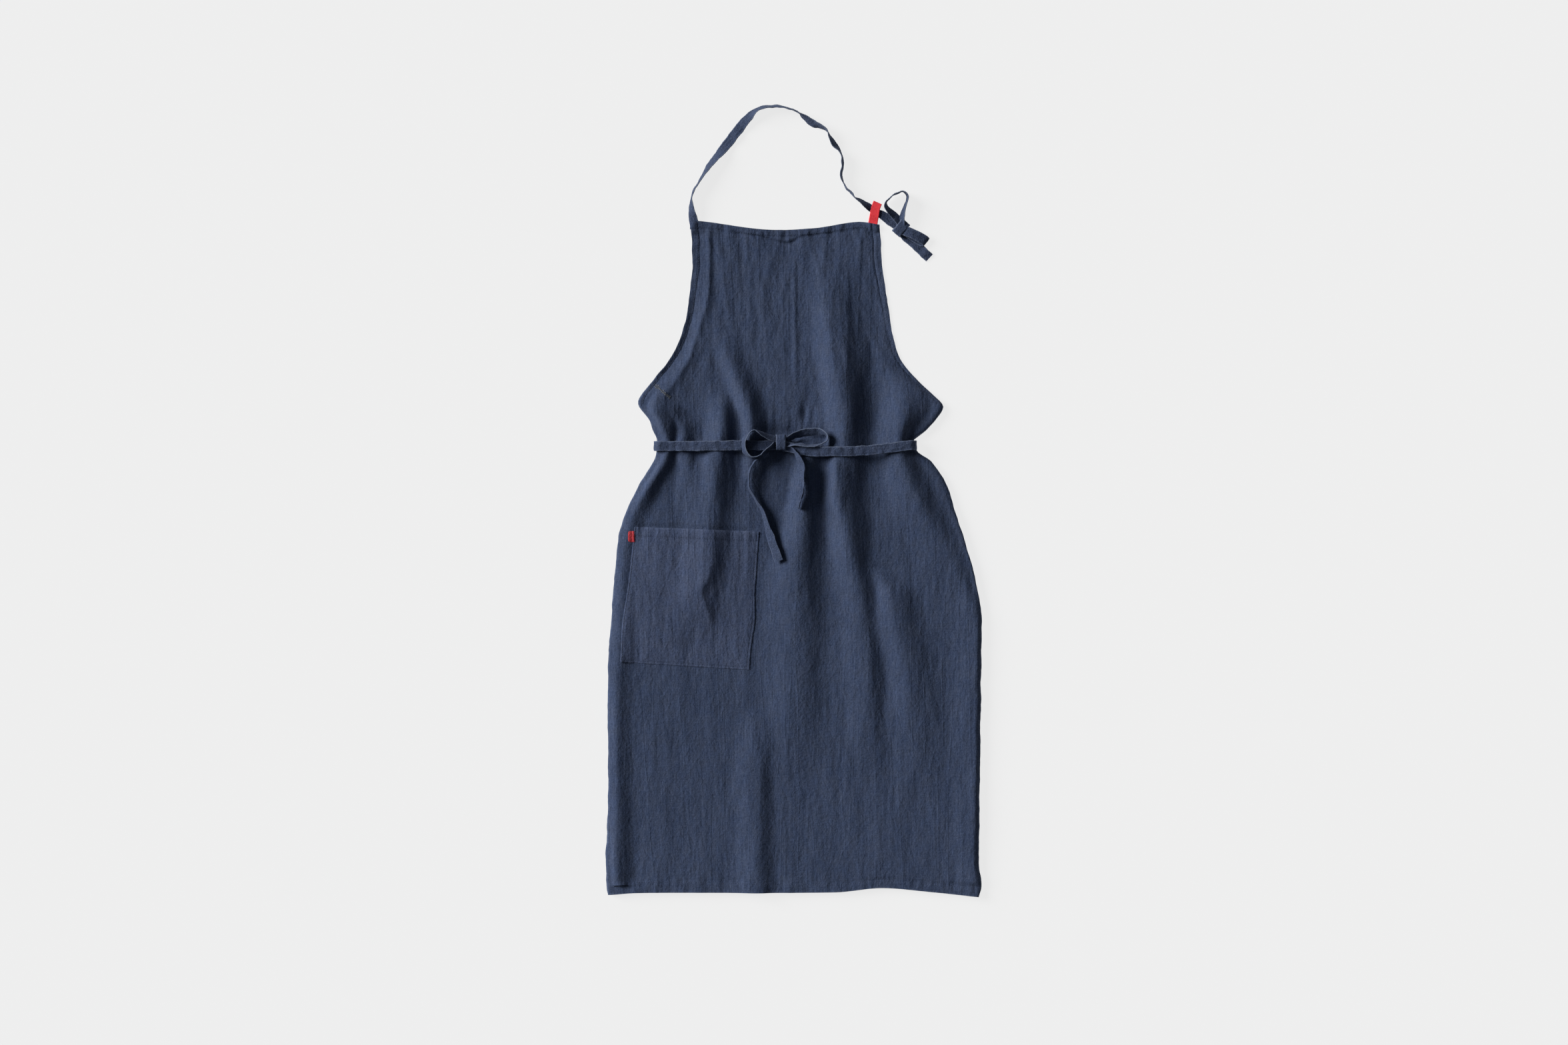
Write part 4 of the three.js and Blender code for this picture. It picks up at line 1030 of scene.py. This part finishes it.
def wrapped_knot(knot, level, seed):
    """A band wrapped once round the other straps, with its middle at a level."""
    x, y, slant, width, length, height = knot
    angle = np.linspace(0, 2 * np.pi, KNOT_STEPS, endpoint=False)
    reach = np.sign(np.cos(angle)) * np.abs(np.cos(angle)) ** 0.6
    rise = np.sign(np.sin(angle)) * np.abs(np.sin(angle)) ** 0.75
    lay = np.array([math.cos(math.radians(slant)), math.sin(math.radians(slant)), 0.0])
    across = np.array([lay[1], -lay[0], 0.0])
    path = np.array([x, y, level]) + np.outer(reach * (length / 2 - 1), lay)
    path[:, 2] += rise * (height / 2 - 1)
    pinch = 1 - 0.1 * np.abs(np.sin(angle)) + 0.04 * np.cos(3 * angle + seed)
    return sweep(path, np.outer(pinch * width, across), KNOT_WALL, seed, 0.35, True, KNOT_SECTION)


def bow_knot():
    """The bow's knot, which hangs a little below the folds on both its sides."""
    across, along = np.meshgrid(*(np.linspace(-reach, reach, 5) for reach in BOW_KNOT_REACH))
    folds = front_height(BOW_KNOT[0] + across, BOW_KNOT[1] + along, 0).max()
    level = folds - BOW_KNOT_SAG + CLOTH / 2 + SEAM_GAP
    return wrapped_knot(BOW_KNOT, level + BOW_KNOT[-1] / 2, 71)


# Red tape: the neck loop and the pocket's tag

# The tape's section: plain and flat, with slightly thicker selvedges.
TAPE_HALF = [
    (-1.0, 0.0), (-0.98, 0.7), (-0.92, 1.1), (-0.8, 1.0), (-0.4, 1.0), (0.0, 1.0), (0.4, 1.0), (0.8, 1.0),
    (0.92, 1.1), (0.98, 0.7),
]
TAPE_SECTION = np.array(TAPE_HALF + [(-v, -t) for v, t in TAPE_HALF])
TAG_MIDDLE = (-230.6, -51.0)
TAG_WIDTH = 9.5
TAG_LENGTH = 15.5
TAG_EDGE = -227.5
TAG_CORNER = 3.2
TAG_ROWS = 27
TAG_COLUMNS = 19


def loop_band():
    """The red tape: a flat loop whose two ends are caught in the bib's corner."""
    path, width = laid_path(RED_LOOP, LOOP_WIDTH)
    return sweep(path, width, TAPE, 81, 0.15, False, TAPE_SECTION)[:-1]


def tag_mesh():
    """A tab of the same tape, folded over at its left and sewn over the pocket's edge at its right."""
    out, along = np.meshgrid(np.linspace(0, 1, TAG_COLUMNS), np.linspace(-1, 1, TAG_ROWS))
    corner = np.clip((out * TAG_WIDTH - TAG_WIDTH + TAG_CORNER) / TAG_CORNER, 0, 1)
    half = TAG_LENGTH / 2 - TAG_CORNER * (1 - np.sqrt(1 - corner ** 2))
    x = TAG_MIDDLE[0] + TAG_WIDTH * (0.5 - out)
    y = TAG_MIDDLE[1] + half * along + 0.25 * noise(out * 2, along * 2, 91)
    level = front_top(x, y) + 1.0 + 1.3 * smooth(x, TAG_EDGE - 3, TAG_EDGE + 0.5)
    z = level + 0.3 * noise(out * 3, along * 3, 92)
    points = np.stack([x, y, z], axis=-1).reshape(-1, 3)
    uv = np.stack([x - TAG_MIDDLE[0], y - TAG_MIDDLE[1]], axis=-1).reshape(-1, 2)
    plump = 0.5 + 1.3 * (1 - along ** 4) * (1 - (2 * out - 1) ** 4)
    both, faces = thicken(points, grid_faces(TAG_ROWS, TAG_COLUMNS), plump.ravel())
    return both, faces, np.concatenate([uv, uv])


# Materials

def node(tree, kind, **settings):
    made = tree.nodes.new(kind)
    for name, value in settings.items():
        if name in made.inputs:
            made.inputs[name].default_value = value
        else:
            setattr(made, name, value)
    return made


def new_material(name, values):
    """A material with constant values on its shader's sockets, its nodes and the shader."""
    material = bpy.data.materials.new(name)
    material.use_nodes = True
    shader = material.node_tree.nodes["Principled BSDF"]
    for socket, value in values.items():
        shader.inputs[socket].default_value = value
    return material, material.node_tree, shader


def math_node(tree, operation, a, b):
    made = node(tree, "ShaderNodeMath", operation=operation)
    for socket, value in zip(made.inputs, (a, b)):
        if isinstance(value, (int, float)):
            socket.default_value = value
        else:
            tree.links.new(value, socket)
    return made.outputs[0]


def weighted(tree, *terms):
    """The sum of several values, each with its own weight."""
    total = 0
    for value, weight in terms:
        total = math_node(tree, "ADD", math_node(tree, "MULTIPLY", value, weight), total)
    return total


def scaled_noise(tree, place, scale, detail, roughness=0.55, turn=0.0):
    """Noise with grains of a size in millimetres along each axis, turned about the upright one."""
    size = [MM * grain for grain in scale]
    turned = (0, 0, math.radians(turn))
    mapping = node(tree, "ShaderNodeMapping", vector_type="TEXTURE", Scale=size, Rotation=turned)
    tree.links.new(place, mapping.inputs["Vector"])
    made = node(tree, "ShaderNodeTexNoise", Scale=1.0, Detail=detail, Roughness=roughness)
    tree.links.new(mapping.outputs["Vector"], made.inputs["Vector"])
    return made.outputs["Fac"]


def crease_lines(tree, place, scale, sharpness, turn):
    """Thin wandering lines where the cloth was once folded: 1 on a line and 0 away from it."""
    field = scaled_noise(tree, place, scale, 1.0, 0.5, turn)
    away = math_node(tree, "ABSOLUTE", math_node(tree, "SUBTRACT", field, 0.5), 0)
    line = math_node(tree, "SUBTRACT", 1, math_node(tree, "MULTIPLY", away, sharpness))
    return math_node(tree, "MAXIMUM", line, 0)


def ramp(tree, value, stops):
    """A colour that follows a value through stops of place and colour."""
    made = node(tree, "ShaderNodeValToRGB")
    elements = made.color_ramp.elements
    while len(elements) < len(stops):
        elements.new(0.5)
    for element, (place, colour) in zip(elements, stops):
        element.position = place
        element.color = (*colour, 1)
    tree.links.new(value, made.inputs["Fac"])
    return made.outputs["Color"]


def bump(tree, height, distance, normal=None):
    made = node(tree, "ShaderNodeBump", Strength=1.0, Distance=distance * MM)
    tree.links.new(height, made.inputs["Height"])
    if normal is not None:
        tree.links.new(normal, made.inputs["Normal"])
    return made.outputs["Normal"]


def thread_waves(tree, place, pitch):
    """The raised threads of a plain weave: both directions, each over and under the other."""
    parts = node(tree, "ShaderNodeSeparateXYZ")
    tree.links.new(place, parts.inputs[0])
    turn = math.pi / (pitch * MM)
    warp = math_node(tree, "SINE", math_node(tree, "MULTIPLY", parts.outputs[0], turn), 0)
    weft = math_node(tree, "SINE", math_node(tree, "MULTIPLY", parts.outputs[1], turn), 0)
    return math_node(tree, "MULTIPLY", warp, weft)


def tinted(tree, colour, value, cool, warm):
    """A colour multiplied by a tint that drifts from cool to warm with a value."""
    made = node(tree, "ShaderNodeMix", data_type="RGBA", blend_type="MULTIPLY")
    made.inputs[0].default_value = 1.0
    tree.links.new(colour, made.inputs[6])
    tree.links.new(ramp(tree, value, [(0.35, cool), (0.65, warm)]), made.inputs[7])
    return made.outputs[2]


LINEN_FINISH = {
    "Roughness": 0.92, "Specular IOR Level": 0.2, "Sheen Weight": 0.1, "Sheen Roughness": 0.5,
    "Sheen Tint": (0.55, 0.65, 0.9, 1),
}
TAPE_FINISH = {"Roughness": 0.75, "Sheen Weight": 0.1, "Sheen Roughness": 0.4}
THREAD_FINISH = {"Roughness": 0.6, "Specular IOR Level": 0.3}
FLOOR_FINISH = {
    "Base Color": (0.1, 0.1, 0.1, 1), "Roughness": 1.0, "Specular IOR Level": 0.0,
    "Emission Color": (1, 1, 1, 1), "Emission Strength": 0.783,
}


# Old creases in the linen: weight, size of the grains they wind round, sharpness, turn in degrees.
OLD_CREASES = [
    (0.3, (16.0, 90.0, 40.0), 9.0, 3), (-0.4, (15.0, 46.0, 40.0), 11.0, 32),
    (0.35, (17.0, 52.0, 40.0), 11.0, -24), (0.4, (20.0, 320.0, 40.0), 24.0, 1),
]


def linen(name, dark, light, worn_and_lit, by_uv=False, crumple=1.0):
    """Washed linen: uneven threads both ways, slubs, a mottled dye, old creases and a fine weave."""
    material, tree, shader = new_material(name, LINEN_FINISH)
    place = node(tree, "ShaderNodeTexCoord").outputs["UV" if by_uv else "Object"]
    mottle = scaled_noise(tree, place, (1.7, 2.2, 2.0), 4.0, 0.65)
    warp = scaled_noise(tree, place, (0.8, 17.0, 4.0), 1.5)
    weft = scaled_noise(tree, place, (13.0, 0.8, 4.0), 1.5)
    patch = scaled_noise(tree, place, (34.0, 80.0, 60.0), 2.0)
    grain = weighted(tree, (mottle, 0.5), (warp, 0.3), (weft, 0.2))
    tone = weighted(tree, (grain, 0.85), (patch, 0.15))
    middle = tuple((a + b) / 2 for a, b in zip(dark, light))
    # On straps the colour lightens towards both edges: partly wear, partly a painted highlight where the
    # thick sewn edges catch the light.
    if by_uv:
        parts = node(tree, "ShaderNodeSeparateXYZ")
        tree.links.new(place, parts.inputs[0])
        off = math_node(tree, "ABSOLUTE", parts.outputs[0], 0)
        edge = math_node(tree, "MAXIMUM", math_node(tree, "SUBTRACT", off, 5.2 * MM), 0)
        tone = weighted(tree, (tone, 1), (edge, 0.16 / MM))
    else:
        rubbed = node(tree, "ShaderNodeAttribute", attribute_name="wear").outputs["Fac"]
        tone = weighted(tree, (tone, 1), (rubbed, 0.12))
    colour = ramp(tree, tone, [(0.385, dark), (0.5, middle), (0.615, light), (0.85, worn_and_lit)])
    drift = scaled_noise(tree, place, (9.0, 14.0, 12.0), 2.0)
    colour = tinted(tree, colour, drift, (0.97, 0.995, 1.03), (1.04, 1.005, 0.97))
    tree.links.new(colour, shader.inputs["Base Color"])
    broad = scaled_noise(tree, place, (8.0, 40.0, 20.0), 1.0)
    crush = scaled_noise(tree, place, (3.8, 4.4, 4.0), 3.0, 0.6)
    creases = weighted(tree, *[(crease_lines(tree, place, *line), weight) for weight, *line in OLD_CREASES])
    relief = bump(tree, broad, 0.8 * crumple)
    relief = bump(tree, crush, 0.9 * crumple, relief)
    relief = bump(tree, creases, 0.45 * crumple, relief)
    relief = bump(tree, grain, 0.4, relief)
    relief = bump(tree, thread_waves(tree, place, 0.62), 0.05, relief)
    tree.links.new(relief, shader.inputs["Normal"])
    return material


def red_tape(name, dark, middle, light):
    """Red tape with fine ribs across it, with painted shade in its grooves."""
    material, tree, shader = new_material(name, TAPE_FINISH)
    place = node(tree, "ShaderNodeTexCoord").outputs["UV"]
    rib = thread_waves(tree, place, 0.55)
    fleck = scaled_noise(tree, place, (1.2, 2.4, 1.5), 3.0)
    share = math_node(tree, "ADD", math_node(tree, "MULTIPLY", rib, 0.05), fleck)
    tree.links.new(ramp(tree, share, [(0.3, dark), (0.5, middle), (0.7, light)]), shader.inputs["Base Color"])
    ribbed = bump(tree, rib, 0.025)
    tree.links.new(bump(tree, fleck, 0.14, ribbed), shader.inputs["Normal"])
    return material


def thread(name, dark, light):
    """Sewing thread: two plies twisted together, seen as fine slanting flecks."""
    material, tree, shader = new_material(name, THREAD_FINISH)
    place = node(tree, "ShaderNodeTexCoord").outputs["Object"]
    ply = scaled_noise(tree, place, (0.25, 0.6, 0.4), 2.0, 0.5, 35)
    tree.links.new(ramp(tree, ply, [(0.35, dark), (0.65, light)]), shader.inputs["Base Color"])
    tree.links.new(bump(tree, ply, 0.08), shader.inputs["Normal"])
    return material


# The lightest stop: rubbed edges on every piece, and on the straps also a painted highlight along the edges.
WORN_AND_LIT_BLUE = (0.12, 0.145, 0.2)
LINEN = linen("navy_linen", (0.023, 0.036, 0.074), (0.063, 0.085, 0.149), WORN_AND_LIT_BLUE)
POCKET = linen("navy_pocket", (0.03, 0.043, 0.085), (0.077, 0.1, 0.173), WORN_AND_LIT_BLUE)
STRAP = linen("navy_strap", (0.016, 0.026, 0.055), (0.068, 0.09, 0.156), WORN_AND_LIT_BLUE, True, 1.2)
LOOP_RED = red_tape("red_tape", (0.8, 0.03, 0.042), (0.95, 0.042, 0.056), (1.0, 0.07, 0.09))
# The pocket's tag is the same tape as the neck loop, given darker colours as painted shade.
SHADED_TAG_RED = red_tape("red_tape_painted_shade", (0.22, 0.012, 0.018), (0.42, 0.024, 0.035), (0.62, 0.04, 0.055))
NAVY_THREAD = thread("navy_thread", (0.03, 0.042, 0.08), (0.075, 0.1, 0.17))
PALE_THREAD = thread("pale_thread", (0.09, 0.1, 0.125), (0.2, 0.215, 0.24))


# The pieces

def cut_piece(node_name, slot, *mesh):
    """A piece that takes the place of a solid: its name, points, faces, material and maps."""
    piece = make_object(*mesh)
    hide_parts(node_name)
    return piece


def sewn_seams(name, slot, material, seams, *stitch):
    """The stitches along a piece's seams, in one thread and of one kind."""
    stitches = make_object(name, *stitch_mesh(seams, *stitch), material)
    return stitches


def sewn_strap(name, node_name, strap_width, rests_on, *parts):
    """A strap and its stitches, from the parts that follow one another along it."""
    points, faces, uv, length, seams = joined(*parts)
    strap = cut_piece(node_name, "linen_strap", name, points, faces, STRAP, uv)
    stitches = sewn_seams(name + "_stitches", "linen_strap", NAVY_THREAD, seams)


points, faces, wear, hems = body_mesh()
body = cut_piece("body", "linen", "apron_body", points, faces, LINEN, None, wear)
body_stitches = sewn_seams("apron_body_stitches", "linen", NAVY_THREAD, hems)
bartack = sewn_seams(
    "apron_bartack", "linen", PALE_THREAD, [bartack_seam()], BARTACK_STITCH, BARTACK_GAP, BARTACK_THREAD,
)

points, faces, wear, hems = pocket_mesh()
pocket = cut_piece("pocket", "linen", "apron_pocket", points, faces, POCKET, None, wear)
pocket_stitches = sewn_seams("apron_pocket_stitches", "linen", NAVY_THREAD, hems)

sewn_strap(
    "apron_neck_strap", "neck_strap", NECK_WIDTH, [],
    neck_part(NECK_ROUTE, 51),
    neck_part(NECK_LOOP_UPPER, 52, NECK_LOOP_LIFT),
    neck_flat_loop(),
    neck_part(NECK_TAIL, 54, hemmed=True),
    wrapped_knot(NECK_KNOT, NECK_KNOT_LEVEL, 55),
)
sewn_strap(
    "apron_tie_left", "waist_tie_left", TIE_WIDTH, ["apron_body"],
    tie_run(-1, TIE_LEFT_FRONT, BACK_HIGH, 61),
    bow_part(BOW_LOOP_LEFT, 62),
    bow_part(BOW_TAIL_LEFT, 63, True),
)
sewn_strap(
    "apron_tie_right", "waist_tie_right", TIE_WIDTH, ["apron_body"],
    tie_run(1, TIE_RIGHT_FRONT, BACK_LOW, 64),
    bow_part(BOW_LOOP_RIGHT, 65),
    bow_part(BOW_TAIL_RIGHT, 66, True),
    bow_knot(),
)

points, faces, uv, length = loop_band()
loop = cut_piece("neck_loop", "red_tape", "apron_neck_loop", points, faces, LOOP_RED, uv)

points, faces, uv = tag_mesh()
tag = cut_piece("pocket_tag", "red_tape", "apron_pocket_tag", points, faces, SHADED_TAG_RED, uv)


# Floor, light and camera

def studio():
    """The pale surface, one soft light from the upper left, a cool fill and the photo's camera."""
    scene = bpy.context.scene
    turns = [(-1, -1), (1, -1), (1, 1), (-1, 1)]
    corners = np.array([(FLOOR_REACH * x, FLOOR_REACH * y, FLOOR_LEVEL) for x, y in turns])
    mesh = bpy.data.meshes.new("floor")
    mesh.from_pydata((corners * MM).tolist(), [], [(0, 1, 2, 3)])
    mesh.materials.append(new_material("floor", FLOOR_FINISH)[0])
    placed("floor", mesh)

    sun = bpy.data.lights.new("key", "SUN")
    sun.energy = KEY_POWER
    sun.angle = math.radians(KEY_SOFTNESS)
    height = math.radians(KEY_HEIGHT)
    way = math.radians(KEY_WAY)
    ray = (math.cos(height) * math.cos(way), -math.cos(height) * math.sin(way), -math.sin(height))
    placed("key", sun).rotation_euler = Vector(ray).to_track_quat("-Z", "Y").to_euler()

    world = bpy.data.worlds.new("studio")
    world.use_nodes = True
    background = world.node_tree.nodes["Background"]
    background.inputs["Color"].default_value = FILL_COLOUR
    background.inputs["Strength"].default_value = FILL
    scene.world = world

    camera = bpy.data.cameras.new("camera")
    camera.sensor_width = SENSOR
    camera.lens = LENS
    camera.clip_end = CLIP_END
    eye = placed("camera", camera)
    away = FRAME_WIDTH * MM * LENS / SENSOR + FRAME_LEVEL * MM
    eye.location = (FRAME_MIDDLE[0] * MM, FRAME_MIDDLE[1] * MM, away)
    scene.camera = eye
    scene.view_settings.view_transform = "Standard"


studio()
